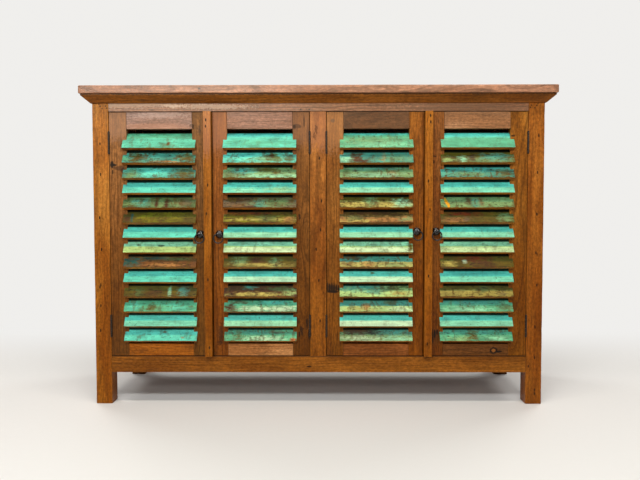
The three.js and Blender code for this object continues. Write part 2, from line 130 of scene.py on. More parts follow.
def ease(tree, value, low, high, at_low=0.0, at_high=1.0):
    """A smooth step: at_low up to low, at_high from high on."""
    levels = {0: value, 1: low, 2: high, 3: at_low, 4: at_high}
    return add_node(tree, "MapRange", levels, interpolation_type="SMOOTHSTEP").outputs[0]


def in_view(tree):
    """1 for what is seen, in polished iron too, and 0 for the light that falls on the cabinet."""
    ray = add_node(tree, "LightPath").outputs
    mirrored = reckon(tree, "MAXIMUM", ray["Is Glossy Ray"], ray["Is Transmission Ray"])
    return reckon(tree, "MAXIMUM", ray["Is Camera Ray"], mirrored)


def lamp(name, place, aim, width, height, watts, tint):
    data = bpy.data.lights.new(name, "AREA")
    data.shape = "RECTANGLE"
    data.size = width
    data.size_y = height
    data.energy = watts
    data.color = tint
    made = stand(name, data)
    made.location = place
    made.rotation_euler = (Vector(aim) - Vector(place)).to_track_quat("-Z", "Y").to_euler()


lamp("overhead_lamp", (0, -1.12, 2.97), (0, -0.2, 0.6), 3.0, 0.22, 40, (1, 0.90, 0.78))
lamp("front_lamp", (0, -2.72, 2.45), (0, -0.2, 0.6), 3.0, 0.45, 64, (0.97, 1, 1))
lamp("sheen_panel", (-1.15, -3.3, 1.55), (-0.35, -0.2, 0.93), 2.0, 0.5, 26, (1, 0.97, 0.94))
both_sides = (("left", -1), ("right", 1))
for side, sign in both_sides:
    lamp(f"rear_{side}_lamp", (sign * 2.5, 1.9, 2.2), (0, 0.1, 0.5), 1.4, 1.0, 38, (1, 0.98, 0.95))

backdrop_tint = (0.87, 0.86, 0.84, 1)
sky_glow = 0.18
world = bpy.data.worlds.new("sky")
bpy.context.scene.world = world
world.use_nodes = True
sky = world.node_tree
sky.nodes.clear()
glow = add_node(sky, "Background", {"Color": (0.97, 0.99, 1, 1), "Strength": sky_glow}).outputs[0]
backdrop = add_node(sky, "Background", {"Color": backdrop_tint, "Strength": 1}).outputs[0]
shown = add_node(sky, "MixShader", {0: in_view(sky), 1: glow, 2: backdrop}).outputs[0]
add_node(sky, "OutputWorld", {0: shown})

floor_tint = (0.78, 0.77, 0.75, 1)
floor_shade = (0.60, 0.50, 0.37, 1)
floor_radius = 7.0
floor_sides = 48
fade_starts, fade_ends = 1.3, 3.4
floor_mesh = bpy.data.meshes.new("floor")
turns = [2 * math.pi * i / floor_sides for i in range(floor_sides)]
floor_mesh.from_pydata([(floor_radius * math.cos(turn), floor_radius * math.sin(turn), 0) for turn in turns], [],
                       [tuple(range(floor_sides))])
studio_floor = stand("studio_floor", floor_mesh)
floor_paint, tree, spot = new_finish("pale_floor")
behind = ease(tree, add_node(tree, "SeparateXYZ", {0: spot}).outputs[1], 0.25, 1.1)
far_off = reckon(tree, "MAXIMUM", ease(tree, length_of(tree, spot), fade_starts, fade_ends), behind)
seen = in_view(tree)
matt = add_node(tree, "BsdfPrincipled", {
    "Base Color": blend(tree, seen, floor_shade, floor_tint), "Specular IOR Level": 0.2,
    "Roughness": ease(tree, uneven(tree, spot, 60.0, 4.0)[0], 0.3, 0.7, 0.55, 0.68)}).outputs[0]
glowing = add_node(tree, "Emission", {0: backdrop_tint}).outputs[0]
mixed = add_node(tree, "MixShader", {0: reckon(tree, "MULTIPLY", far_off, seen), 1: matt, 2: glowing}).outputs[0]
add_node(tree, "OutputMaterial", {0: mixed})
floor_mesh.materials.append(floor_paint)

# Posts. Four squared posts of reclaimed hardwood run from the floor to the underside of the top. They are planed,
# with unevenly worn arrises and old nail holes, and lacquered to a honey brown; the hinges are let into the front two.
honey_tones = ((193, 130, 57), (163, 98, 34), (87, 44, 11))
honey_slot = "honey_wood"
corner_steps = (0, 0.36, 0.7, 1)


def rounded_ring(corners, middle, radii, inset, spans):
    """One section of a board, its corners eased by radii and the whole drawn in by inset at an end."""
    ring = []
    for k, corner in enumerate(corners):
        before = corners[k - 1] - corner
        after = corners[(k + 1) % len(corners)] - corner
        reach = min(radii[k], 0.4 * before.length, 0.4 * after.length)
        first = corner + before.normalized() * reach
        last = corner + after.normalized() * reach
        for t in corner_steps:
            ring.append((1 - t) ** 2 * first + 2 * t * (1 - t) * corner + t * t * last)
    shrink = Vector((1 - 2 * inset / spans[0], 1 - 2 * inset / spans[1]))
    return [middle + Vector(((p.x - middle.x) * shrink.x, (p.y - middle.y) * shrink.y)) for p in ring]


def bridge(mesh, near, far, smooth=True):
    """Joins two closed loops of points with a band of faces."""
    band = []
    for i in range(len(near)):
        j = (i + 1) % len(near)
        face = mesh.faces.new((near[i], near[j], far[j], far[i]))
        face.smooth = smooth
        band.append(face)
    return band


def from_faces(name, mesh, finishes):
    """Turns finished faces into an object of the scene."""
    bmesh.ops.recalc_face_normals(mesh, faces=mesh.faces)
    data = bpy.data.meshes.new(name)
    mesh.to_mesh(data)
    mesh.free()
    for finish in finishes:
        data.materials.append(finish)
    return stand(name, data)


def timber(name, outline, start, end, grain, arris, seed, finishes, skin=None, pitch=0.009, chips=6.0):
    """A board lofted along its grain (0, 1 or 2 for x, y or z) round the corners of its section. Start and end are
    numbers, or functions of a point of the section where the end is mitred. Its arrises are unevenly worn."""
    luck = random.Random(seed)
    corners = [Vector(point) for point in outline]
    middle = sum(corners, Vector((0, 0))) / len(corners)
    spans = [max(c[i] for c in corners) - min(c[i] for c in corners) for i in (0, 1)]
    start_at = start if callable(start) else lambda point: start
    end_at = end if callable(end) else lambda point: end
    length = end_at(middle) - start_at(middle)
    count = max(2, int((length - 2 * arris) / pitch))
    first_step = 0.3 * arris
    stations = [(0, arris), (first_step, first_step)]
    stations += [(arris + (length - 2 * arris) * i / count, 0) for i in range(count + 1)]
    stations += [(length - first_step, first_step), (length, arris)]
    knocks = [(luck.randrange(len(corners)), luck.uniform(0, length), luck.uniform(0.3, 1.5) * arris,
               luck.uniform(0.003, 0.011)) for _ in range(int(length * chips))]
    mesh = bmesh.new()
    rings = []
    for along, inset in stations:
        radii = []
        for k in range(len(corners)):
            wear = noise.noise(Vector((seed * 1.37 + 5.1 * k, along * 31, 0.5)))
            radius = arris * (1 + 0.55 * wear)
            for corner, where, depth, half in knocks:
                if corner == k:
                    radius += depth * math.exp(-((along - where) / half) ** 2)
            radii.append(radius)
        ring = []
        for point in rounded_ring(corners, middle, radii, inset, spans):
            share = along / length
            place = [0, 0, 0]
            place[grain] = start_at(point) * (1 - share) + end_at(point) * share
            place[(grain + 1) % 3] = point.x
            place[(grain + 2) % 3] = point.y
            ring.append(mesh.verts.new(place))
        rings.append(ring)
    for near, far in zip(rings, rings[1:]):
        for j, face in enumerate(bridge(mesh, near, far)):
            if skin:
                corner, part = divmod(j, len(corner_steps))
                face.material_index = skin[corner - 1] if part == 0 else skin[corner]
    for ring in (rings[0], rings[-1]):
        face = mesh.faces.new(ring)
        face.smooth = True
        face.material_index = 1 if skin else 0
    return from_faces(name, mesh, finishes)


def block_of(corners):
    """The points and faces of a cutter, from its four corners at one end and then the four at the other."""
    faces = [(0, 3, 2, 1), (4, 5, 6, 7), (0, 1, 5, 4), (1, 2, 6, 5), (2, 3, 7, 6), (3, 0, 4, 7)]
    return corners, faces


def box_cutter(x0, x1, y0, y1, z0, z1):
    return block_of([(x, y, z) for z in (z0, z1) for x, y in ((x0, y0), (x1, y0), (x1, y1), (x0, y1))])


def rod_cutter(x, y, radius, z0, z1, sides=24):
    turns = [2 * math.pi * i / sides for i in range(sides)]
    points = [(x + radius * math.cos(t), y + radius * math.sin(t), z) for z in (z0, z1) for t in turns]
    faces = [tuple(reversed(range(sides))), tuple(range(sides, 2 * sides))]
    faces += [(i, (i + 1) % sides, sides + (i + 1) % sides, sides + i) for i in range(sides)]
    return points, faces


def cut_away(piece, cutters):
    """Takes the cutters, which don't touch each other, out of the piece."""
    points, faces = [], []
    for corners, sides in cutters:
        faces += [tuple(len(points) + i for i in side) for side in sides]
        points += corners
    data = bpy.data.meshes.new("cutter")
    data.from_pydata(points, [], faces)
    cutter = stand("cutter", data)
    tool = piece.modifiers.new("cut", "BOOLEAN")
    tool.object = cutter
    tool.solver = "EXACT"
    bpy.context.view_layer.update()
    shape = bpy.data.meshes.new_from_object(piece.evaluated_get(bpy.context.evaluated_depsgraph_get()))
    piece.modifiers.clear()
    old = piece.data
    piece.data = shape
    bpy.data.meshes.remove(old)
    bpy.data.objects.remove(cutter)
    bpy.data.meshes.remove(data)
    shape.name = piece.name


def fit(piece, body, slot, *nodes):
    """Hands a finished piece to the frame, with normals that keep its flat faces flat."""
    weighting = piece.modifiers.new("even_normals", "WEIGHTED_NORMAL")
    weighting.keep_sharp = True
    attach(piece, body)
    if nodes:
        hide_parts(*nodes)
    return piece


def stretched(tree, place, factors, detail, rough=0.5):
    """Noise drawn out along the grain or the brush: each factor says how fine it is one way."""
    return uneven(tree, reckon_each(tree, "MULTIPLY", place, factors), 1.0, detail, rough)


def weigh(tree, *shares, start=0.0):
    """The sum of some values, each times its own weight."""
    total = start
    for value, weight in shares:
        total = add_node(tree, "Math", {0: value, 1: weight, 2: total}, operation="MULTIPLY_ADD").outputs[0]
    return total


def scaled(tree, colour, amount):
    return add_node(tree, "VectorMath", {0: colour, "Scale": amount}, operation="SCALE").outputs[0]


def start_recipe(name, wanted):
    """A group of nodes with the inputs wanted, which makes a colour, a sheen and a relief."""
    tree = bpy.data.node_groups.new(name, "ShaderNodeTree")
    for way, sockets in (("INPUT", wanted), ("OUTPUT", {"Colour": "Color", "Sheen": "Float", "Relief": "Float"})):
        for socket, kind in sockets.items():
            tree.interface.new_socket(socket, in_out=way, socket_type="NodeSocket" + kind)
    return tree, tree.nodes.new("NodeGroupInput").outputs


def end_recipe(tree, *made):
    out = tree.nodes.new("NodeGroupOutput")
    for place, socket in enumerate(made):
        tree.links.new(socket, out.inputs[place])
    return tree


def grain_recipe():
    """Old hardwood: growth rings round a leaning pith, fibres, pores, mottling, and the dents and specks of age."""
    tree, given = start_recipe("old_hardwood", {
        "Place": "Vector", "Rings": "Vector", "Light": "Color", "Middle": "Color", "Dark": "Color", "Figure": "Float",
        "Dirt": "Float"})

    def layer(factors, detail, rough=0.5):
        return stretched(tree, given["Place"], factors, detail, rough)[0]
    drift = stretched(tree, given["Place"], (11, 11, 2.4), 2.0)["Color"]
    lean = reckon_each(tree, "MULTIPLY", reckon_each(tree, "SUBTRACT", drift, (0.5, 0.5, 0.5)), (0.05, 0.05, 0))
    round_pith = reckon_each(tree, "MULTIPLY", reckon_each(tree, "ADD", given["Rings"], lean), (1, 1, 0))
    rings_out = reckon(tree, "MULTIPLY", length_of(tree, round_pith), 230.0)
    rings = add_node(tree, "TexNoise", {"W": rings_out, "Scale": 1.0, "Detail": 3.0, "Roughness": 0.65},
                     noise_dimensions="1D").outputs[0]
    fibre = layer((620, 620, 13), 4.0, 0.62)
    pore = layer((1050, 1050, 46), 2.0)
    broad = layer((17, 17, 3.6), 3.0, 0.55)
    streak = layer((130, 130, 9), 4.0, 0.6)
    mottle = layer((170, 170, 95), 4.0, 0.66)
    dent = layer((250, 250, 34), 3.0, 0.6)
    soil = layer((42, 42, 13), 5.0, 0.68)
    colour = blend(tree, ease(tree, broad, 0.36, 0.66), given["Middle"], given["Light"])
    colour = blend(tree, ease(tree, rings, 0.46, 0.64), colour, given["Dark"], given["Figure"])
    colour = scaled(tree, colour, ease(tree, fibre, 0.25, 0.75, 0.78, 1.2))
    colour = scaled(tree, colour, ease(tree, streak, 0.3, 0.7, 0.84, 1.15))
    colour = scaled(tree, colour, ease(tree, mottle, 0.32, 0.68, 0.73, 1.27))
    open_pore = ease(tree, pore, 0.60, 0.72)
    colour = blend(tree, open_pore, colour, given["Dark"], 0.55)
    dented = ease(tree, dent, 0.66, 0.73)
    colour = blend(tree, dented, colour, srgb(58, 30, 12), 0.75)
    colour = blend(tree, ease(tree, soil, 0.53, 0.70), colour, srgb(52, 32, 20), given["Dirt"])
    sheen = weigh(tree, (open_pore, 0.15), (dented, 0.12), start=ease(tree, fibre, 0.3, 0.7, 0.32, 0.46))
    relief = weigh(tree, (rings, 0.5), (fibre, 0.7), (mottle, 1.2), (open_pore, -0.5), (dented, -0.9))
    return end_recipe(tree, colour, sheen, relief)


old_hardwood = grain_recipe()


def blot(tree, place, ragged, centre, reach, soft, rag):
    """A mark round a centre, as far as reach in x, y and z: 1 inside and 0 outside, with a ragged edge."""
    offset = reckon_each(tree, "SUBTRACT", place, centre)
    offset = reckon_each(tree, "MULTIPLY", offset, [1 / r for r in reach])
    shaken = weigh(tree, (ragged, rag), start=length_of(tree, offset))
    return ease(tree, shaken, 1 + rag / 2, 1 + rag / 2 - soft)


def shade(tree, relief, strength, deep, look):
    """Ends a finish: its relief stands as fine bumps, and its look goes on the shader's own sockets."""
    bump = add_node(tree, "Bump", {"Strength": strength, "Distance": deep, "Height": relief}).outputs[0]
    shader = add_node(tree, "BsdfPrincipled", {"Normal": bump, **look}).outputs[0]
    add_node(tree, "OutputMaterial", {0: shader})


def lacquered(name, low, high, grain, tones, seed, figure=0.5, dirt=0.25, marks=(), depth=0.01, rub=0.35, grime=0.5,
              gloss=0.14, coat=0.08, relief=0.4, deepen=0.0, share=1.0):
    """Lacquered old timber in three tones, for a board between two corners. Marks on its front face, which go in by a
    depth, are (x, z, half width, half height, colour, strength) and, for a large mark with a clean edge, how ragged
    it is. Worn arrises are rubbed, the ends are darkened as grime and painted shade in the joints, and an upright
    is painted darker and richer towards its foot as painted shade."""
    finish, tree, place = new_finish(name)
    tones = [srgb(*tone, share) for tone in tones]
    order = ((grain + 1) % 3, (grain + 2) % 3, grain)
    axes = add_node(tree, "SeparateXYZ", {0: place}).outputs
    turned = add_node(tree, "CombineXYZ", {i: axes[axis] for i, axis in enumerate(order)}).outputs[0]
    luck = random.Random(seed)
    own = reckon_each(tree, "ADD", turned, [luck.uniform(-40, 40) for _ in range(3)])
    centre = [(low[axis] + high[axis]) / 2 for axis in order]
    bearing = luck.uniform(0, 2 * math.pi)
    pith = luck.uniform(0.03, 0.12)
    off_pith = (pith * math.cos(bearing) - centre[0], pith * math.sin(bearing) - centre[1], -centre[2])
    lean = (luck.uniform(-0.04, 0.04), luck.uniform(-0.04, 0.04), 0)
    rings = add_node(tree, "Mapping", {"Vector": reckon_each(tree, "ADD", turned, off_pith), "Rotation": lean})
    wood = add_node(tree, "Group", {
        "Place": own, "Rings": rings.outputs[0], "Light": tones[0], "Middle": tones[1], "Dark": tones[2],
        "Figure": figure, "Dirt": dirt}, node_tree=old_hardwood).outputs
    colour = wood["Colour"]
    # Painted shade: an upright turns darker and richer in colour towards its foot, where less light falls on it.
    if deepen:
        foot_shaded = reckon_each(tree, "MULTIPLY", colour, (0.56, 0.44, 0.14))
        colour = blend(tree, ease(tree, axes[2], 0.22, 1.0, deepen, 0), colour, foot_shaded)
    ragged = uneven(tree, own, 150.0, 5.0, 0.62)[0]
    for x, z, wide, tall, tint, strength, *edge_rag in marks:
        small = max(wide, tall) <= 0.008 or min(wide, tall) <= 0.003
        rag = edge_rag[0] if edge_rag else 0.6 if small else 2.4
        stain = blot(tree, place, ragged, (x, low[1], z), (wide, depth, tall), 0.4 if rag < 1 else 0.6, rag)
        colour = blend(tree, stain, colour, srgb(*tint), strength)
    insets = [reckon(tree, "MINIMUM", reckon(tree, "SUBTRACT", axes[axis], low[axis]),
                     reckon(tree, "SUBTRACT", high[axis], axes[axis])) for axis in range(3)]
    arrises = [reckon(tree, "MAXIMUM", insets[a], insets[b]) for a, b in ((0, 1), (1, 2), (0, 2))]
    from_arris = reckon(tree, "MINIMUM", reckon(tree, "MINIMUM", arrises[0], arrises[1]), arrises[2])
    rubbed = weigh(tree, (ragged, 0.004), start=from_arris)
    colour = blend(tree, ease(tree, rubbed, 0.0045, 0.0015, 0, rub), colour, tones[0])
    # Grime and painted shade: a board is darkened at its ends, where it meets other parts in a joint.
    from_end = weigh(tree, (ragged, 0.0016), start=insets[grain])
    colour = blend(tree, ease(tree, from_end, 0.0026, 0.0008, 0, grime), colour, srgb(34, 20, 12))
    shade(tree, wood["Relief"], relief, 0.0007, {
        "Base Color": colour, "Roughness": wood["Sheen"], "Specular IOR Level": gloss,
        "Specular Tint": (1, 0.7, 0.4, 1), "Coat Weight": coat, "Coat Roughness": 0.22})
    return finish


def board(name, low, high, grain, arris, tones, seeds, pitch=0.009, chips=6.0, **look):
    """A squared board that fills a box from its low to its high corner, in its own lacquered finish."""
    first, second = (grain + 1) % 3, (grain + 2) % 3
    outline = [(low[first], low[second]), (high[first], low[second]), (high[first], high[second]),
               (low[first], high[second])]
    finish = lacquered(name + "_wood", low, high, grain, tones, seeds[0], **look)
    return timber(name, outline, low[grain], high[grain], grain, arris, seeds[1], [finish], None, pitch, chips)


nail_black = (26, 16, 10)
post_arris = 0.0022


def nail_marks(line, heights):
    """Rust-stained nail holes down an upright: each is a short dark stroke along the grain."""
    return [(line + shift, z, 0.0028, 0.0066, nail_black, 0.95) for shift, z in heights]


hinge_heights = {"upper": 0.8395, "lower": 0.2531}
hinge_axis_y = -0.1945
hinge_gap = 0.001
outer_axis_x = 0.666
inner_axis_x = 0.0265
bed_deep, bed_wide, bed_half = 0.0031, 0.0238, 0.0353
hollow_radius, hollow_half = 0.0033, 0.0367


def hinge_rooms(piece, axis_x, side):
    """Room in the wood for both hinges of one door: a shallow bed for the leaf and a hollow for the barrel."""
    x0, x1 = sorted((axis_x, axis_x + side * bed_deep))
    cut_away(piece, [box_cutter(x0, x1, hinge_axis_y, hinge_axis_y + bed_wide, z - bed_half, z + bed_half)
                     for z in hinge_heights.values()])
    cut_away(piece, [rod_cutter(axis_x, hinge_axis_y, hollow_radius, z - hollow_half, z + hollow_half)
                     for z in hinge_heights.values()])


post_nails = {
    "left": [(-0.002, 0.837), (-0.001, 0.740), (-0.007, 0.602), (-0.002, 0.500), (-0.007, 0.3185), (-0.009, 0.238),
             (-0.006, 0.386), (-0.009, 0.378)],
    "right": [(0.007, 0.8605), (0.0045, 0.744), (0.004, 0.612), (0.003, 0.488), (0.007, 0.3845), (0.003, 0.250),
              (0.002, 0.1505), (0.0035, 0.045), (0.004, 0.034), (-0.017, 0.1226)],
}
post_line, top_nails = 0.692, 0.954
# The right post's tones are a darker copy of the honey tones, as painted shade: more light falls on the left post.
post_tones = {"left": honey_tones, "right": ((170, 105, 39), (143, 79, 22), (76, 34, 6))}
for side, sign in both_sides:
    node = "post_front_" + side
    low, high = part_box(node)
    marks = nail_marks((low.x + high.x) / 2, post_nails[side])
    marks += [(sign * (post_line - x), top_nails + z, 0.0028, 0.0034, nail_black, 0.85)
              for x, z in ((0, 0.001), (0.006, -0.006), (-0.004, 0.007), (0.017, 0.002), (0.020, -0.005))]
    piece = board("front_post_" + side, low, high, 2, post_arris, post_tones[side], (11 + sign, 21 + sign), 0.008, 9.0,
                  figure=0.34, marks=marks, depth=0.006, rub=0.4, grime=0.3, deepen=0.9 if side == "left" else 0.65)
    hinge_rooms(piece, sign * outer_axis_x, sign)
    fit(piece, "carcass", honey_slot, node)
    node = "post_rear_" + side
    low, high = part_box(node)
    # The foot of a rear post is painted dark, as painted shade under the cabinet.
    shaded_foot = ((low.x + high.x) / 2, 0.0, 0.06, 0.05, (30, 18, 10), 0.75, 0.6)
    piece = board("rear_post_" + side, low, high, 2, post_arris, honey_tones, (31 + sign, 41 + sign), figure=0.45,
                  dirt=0.35, marks=[shaded_foot], depth=0.02, rub=0.1, grime=0.3, deepen=0.9)
    fit(piece, "carcass", honey_slot, node)

# Front rails and mullion. A frieze rail and a bottom rail are tenoned between the front posts, and the mullion
# between them parts the two pairs of doors; it carries the inner doors' hinges on both sides.
frieze_tones = ((150, 103, 73), (126, 79, 49), (70, 40, 22))
rail_tones = ((143, 86, 26), (117, 66, 17), (61, 30, 5))
mullion_tones = ((176, 113, 50), (149, 88, 35), (83, 42, 12))
rail_arris = 0.0011
rail_half = 0.6667
full_width = 2
low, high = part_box("frieze_rail")
low.x, high.x = -rail_half, rail_half
# Painted light on the frieze: the broad pale marks on its left half are painted sheen, a reflection in the lacquer,
# the two dark marks on its right half are painted shade, and the full-width dark line along its lower edge is painted
# shade of the gap above the doors.
marks = [(-0.055, 0.944, 0.003, 0.003, nail_black, 0.95), (-0.028, 0.944, 0.003, 0.003, nail_black, 0.95),
         (-0.46, 0.9555, 0.045, 0.006, (216, 188, 162), 0.55), (-0.53, 0.944, 0.012, 0.004, (60, 36, 24), 0.7),
         (-0.62, 0.963, 0.30, 0.018, (198, 168, 140), 0.35), (-0.33, 0.953, 0.16, 0.010, (206, 176, 148), 0.4),
         (0.45, 0.950, 0.24, 0.022, (92, 60, 38), 0.5), (0.22, 0.956, 0.09, 0.007, (64, 44, 30), 0.4),
         (0, 0.938, full_width, 0.002, (44, 22, 12), 0.75)]
piece = board("frieze", low, high, 0, rail_arris, frieze_tones, (51, 52), figure=0.6, dirt=0.4, marks=marks, rub=0.5,
              grime=0.6, gloss=0.5, coat=0.35, relief=0.7)
fit(piece, "carcass", honey_slot, "frieze_rail")
low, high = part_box("bottom_rail_front")
low.x, high.x = -rail_half, rail_half
# The full-width dark line along the top of the bottom rail is painted shade of the gap under the doors.
marks = [(-0.030, 0.1215, 0.010, 0.0030, (34, 20, 12), 0.9), (0, 0.1546, full_width, 0.0026, (44, 18, 10), 0.85)]
piece = board("bottom_rail", low, high, 0, rail_arris, rail_tones, (53, 54), figure=0.35, dirt=0.15, marks=marks,
              rub=0.6, grime=0.6)
fit(piece, "carcass", honey_slot, "bottom_rail_front")
low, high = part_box("centre_mullion")
mullion_low, mullion_high = 0.1549, 0.9377
low.z, high.z = mullion_low, mullion_high
mullion_nails = [(0.004, 0.79), (0.011, 0.654), (0.008, 0.562), (-0.006, 0.50), (0.002, 0.40), (0.006, 0.27)]
# The broad pale mark at the top of the mullion is painted sheen, a reflection in the lacquer.
marks = [(0, 0.93, 0.3, 0.14, (172, 116, 86), 0.4, 0.9)] + nail_marks(0, mullion_nails)
marks += [(-0.006, 0.882, 0.006, 0.020, (58, 34, 24), 0.6), (-0.012, 0.861, 0.008, 0.014, (66, 36, 22), 0.55)]
piece = board("mullion", low, high, 2, rail_arris, mullion_tones, (55, 56), 0.008, dirt=0.35, marks=marks, rub=0.4,
              grime=0.4, deepen=0.9)
hinge_rooms(piece, -inner_axis_x, 1)
hinge_rooms(piece, inner_axis_x, -1)
fit(piece, "carcass", honey_slot, "centre_mullion")

# Side and back walls. Each wall is a top and a bottom rail with boards set back between them, all of the same
# reclaimed stock; the rails are chamfered down to the boards, which stand upright and meet in fine open joints.
wall_tones = ((177, 108, 44), (147, 82, 28), (79, 39, 12))
back_tones = ((150, 106, 62), (124, 84, 46), (74, 46, 24))
wall_rail = 0.060
wall_field = 0.008
wall_arris = 0.0012
wall_low = 0.1026
wall_high = 0.9897
board_joint = 0.0002
field_low = wall_low + wall_rail + wall_field + board_joint
field_high = wall_high - wall_rail - wall_field - board_joint
wall_rails = (("lower", wall_low, wall_low + wall_rail + wall_field, True),
              ("upper", wall_high - wall_rail - wall_field, wall_high, False))


def wall_rail_outline(inner, outer, z0, z1, slope_at_top):
    """The section of a wall rail: square outside, with a chamfer down to the boards on the outer face."""
    back = outer - math.copysign(wall_field, outer - inner)
    if slope_at_top:
        points = [(inner, z0), (outer, z0), (outer, z1 - wall_field), (back, z1), (inner, z1)]
    else:
        points = [(inner, z0), (back, z0), (outer, z0 + wall_field), (outer, z1), (inner, z1)]
    return points if outer > inner else list(reversed(points))


side_near, side_far = -0.1407, 0.1727
side_inner, side_outer = 0.692, 0.716
side_boards = 3
for side, sign in both_sides:
    inner, outer, face = sign * side_inner, sign * side_outer, sign * (side_outer - wall_field)
    for place, z0, z1, top_slope in wall_rails:
        seed = 61 + sign + (3 if top_slope else 0)
        low, high = Vector((min(inner, outer), side_near, z0)), Vector((max(inner, outer), side_far, z1))
        finish = lacquered(f"honey_{side}_wall_{place}", low, high, 1, wall_tones, seed, figure=0.4)
        outline = [(z, x) for x, z in wall_rail_outline(inner, outer, z0, z1, top_slope)]
        piece = timber(f"{side}_wall_{place}_rail", list(reversed(outline)), side_near, side_far, 1, wall_arris, seed,
                       [finish])
        fit(piece, "carcass", honey_slot, "side_panel_" + side)
    for i in range(side_boards):
        step = (side_far - side_near) / side_boards
        low = Vector((min(inner, face), side_near + i * step + board_joint, field_low))
        high = Vector((max(inner, face), side_near + (i + 1) * step - board_joint, field_high))
        seed = 70 + 5 * sign + i
        piece = board(f"{side}_wall_board_{i + 1}", low, high, 2, wall_arris, wall_tones, (seed, seed), 0.02, dirt=0.3,
                      deepen=0.7, share=(1, 0.82, 0.94)[i])
        fit(piece, "carcass", honey_slot)

inner, outer = 0.199, 0.223
face = outer - wall_field
for place, z0, z1, top_slope in wall_rails:
    seed = 81 + (3 if top_slope else 0)
    low, high = Vector((-rail_half, inner, z0)), Vector((rail_half, outer, z1))
    finish = lacquered(f"plain_back_{place}", low, high, 0, back_tones, seed, figure=0.45, dirt=0.35, rub=0.3)
    piece = timber(f"back_{place}_rail", wall_rail_outline(inner, outer, z0, z1, top_slope), -rail_half, rail_half, 0,
                   wall_arris, seed, [finish])
    fit(piece, "carcass", "inner_wood", "back_panel")
back_boards = 9
for i in range(back_boards):
    step = 2 * rail_half / back_boards
    low = Vector((-rail_half + i * step + board_joint, inner, field_low))
    high = Vector((-rail_half + (i + 1) * step - board_joint, face, field_high))
    piece = board(f"back_board_{i + 1}", low, high, 2, wall_arris, back_tones, (90 + i, 90 + i), 0.03, dirt=0.4,
                  rub=0.25, share=(1, 0.8, 1.12, 0.9)[i % 4])
    fit(piece, "carcass", "inner_wood")

# Inside. The floor, the partition and the two shelves are plain boards let into housings. Their CAD shapes,
# housings included, stay as they are and get a duller, unpolished version of the same timber.
inner_tones = ((140, 96, 54), (112, 74, 40), (64, 40, 22))
for number, (node, grain) in enumerate((("floor_board", 0), ("centre_partition", 2), ("shelf_left", 0),
                                        ("shelf_right", 0))):
    low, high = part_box(node)
    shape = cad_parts[node].data
    shape.materials.clear()
    shape.materials.append(lacquered("plain_" + node, low, high, grain, inner_tones, 101 + number, dirt=0.4, rub=0.3,
                                     grime=0.3))

# Top and cornice. Four planks are joined edge to edge for the top, whose front edge shows a pinkish lacquered
# glaze. The cornice under it is a sloping moulding with a narrow lip, mitred at the front corners.
top_tones = ((166, 115, 87), (143, 92, 63), (85, 48, 28))
cornice_tones = ((150, 91, 34), (120, 69, 22), (64, 34, 9))
front_arris, plank_arris = 0.0025, 0.0012
plank_shares = (0, 0.27, 0.51, 0.76, 1)
edge_marks = [(-0.37, 1.0035, 0.006, 0.004, (30, 26, 30), 0.9), (-0.46, 1.012, 0.006, 0.003, (60, 30, 20), 0.8),
              (-0.55, 1.008, 0.004, 0.0025, (60, 30, 20), 0.7)]
low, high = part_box("top_board")
for i, (start, end) in enumerate(zip(plank_shares, plank_shares[1:])):
    plank_low = Vector((low.x, low.y + (high.y - low.y) * start, low.z))
    plank_high = Vector((high.x, low.y + (high.y - low.y) * end, high.z))
    piece = board(f"top_plank_{i + 1}", plank_low, plank_high, 0, plank_arris if i else front_arris, top_tones,
                  (111 + i, 121 + i), 0.01, 5.0, figure=0.6, marks=[] if i else edge_marks, rub=0.5, grime=0.25,
                  dirt=0.5, gloss=0.6, coat=0.5, relief=0.7, share=(1, 0.84, 1.04, 0.9)[i])
    fit(piece, "carcass", honey_slot, "top_board")

cornice_low = 0.964
lip_low = 0.985
lip_out = 0.027
cornice_profile = [(0.0003, cornice_low), (0.004, cornice_low), (lip_out, lip_low), (lip_out, wall_high),
                   (0.0003, wall_high)]
cornice_arris = 0.0006
half_width = 0.718
front_y = -0.193
back_y = 0.225
mitre = 0.00015
low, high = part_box("cornice_front")
lip_shadow = (0, 0.9885, full_width, 0.0042, (30, 14, 8), 0.85)
finish = lacquered("dark_cornice_front", low, high, 0, cornice_tones, 131, figure=0.35, dirt=0.35, marks=[lip_shadow],
                   depth=0.004, rub=0.3, grime=0.4)
outline = [(front_y - out, z) for out, z in cornice_profile]
piece = timber("cornice_front_moulding", list(reversed(outline)),
               lambda p: -half_width - (front_y - p.x) + mitre, lambda p: half_width + (front_y - p.x) - mitre,
               0, cornice_arris, 132, [finish])
fit(piece, "carcass", "dark_wood", "cornice_front")
for side, sign in both_sides:
    low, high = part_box("cornice_" + side)
    finish = lacquered("dark_cornice_" + side, low, high, 1, cornice_tones, 135 + sign, figure=0.35, dirt=0.35,
                       rub=0.5, grime=0.4)
    outline = [(z, sign * (half_width + out)) for out, z in cornice_profile][::-sign]
    piece = timber(f"cornice_{side}_moulding", outline, lambda p: front_y - (abs(p.y) - half_width) + mitre, back_y,
                   1, cornice_arris, 138 + sign, [finish])
    fit(piece, "carcass", "dark_wood", "cornice_" + side)

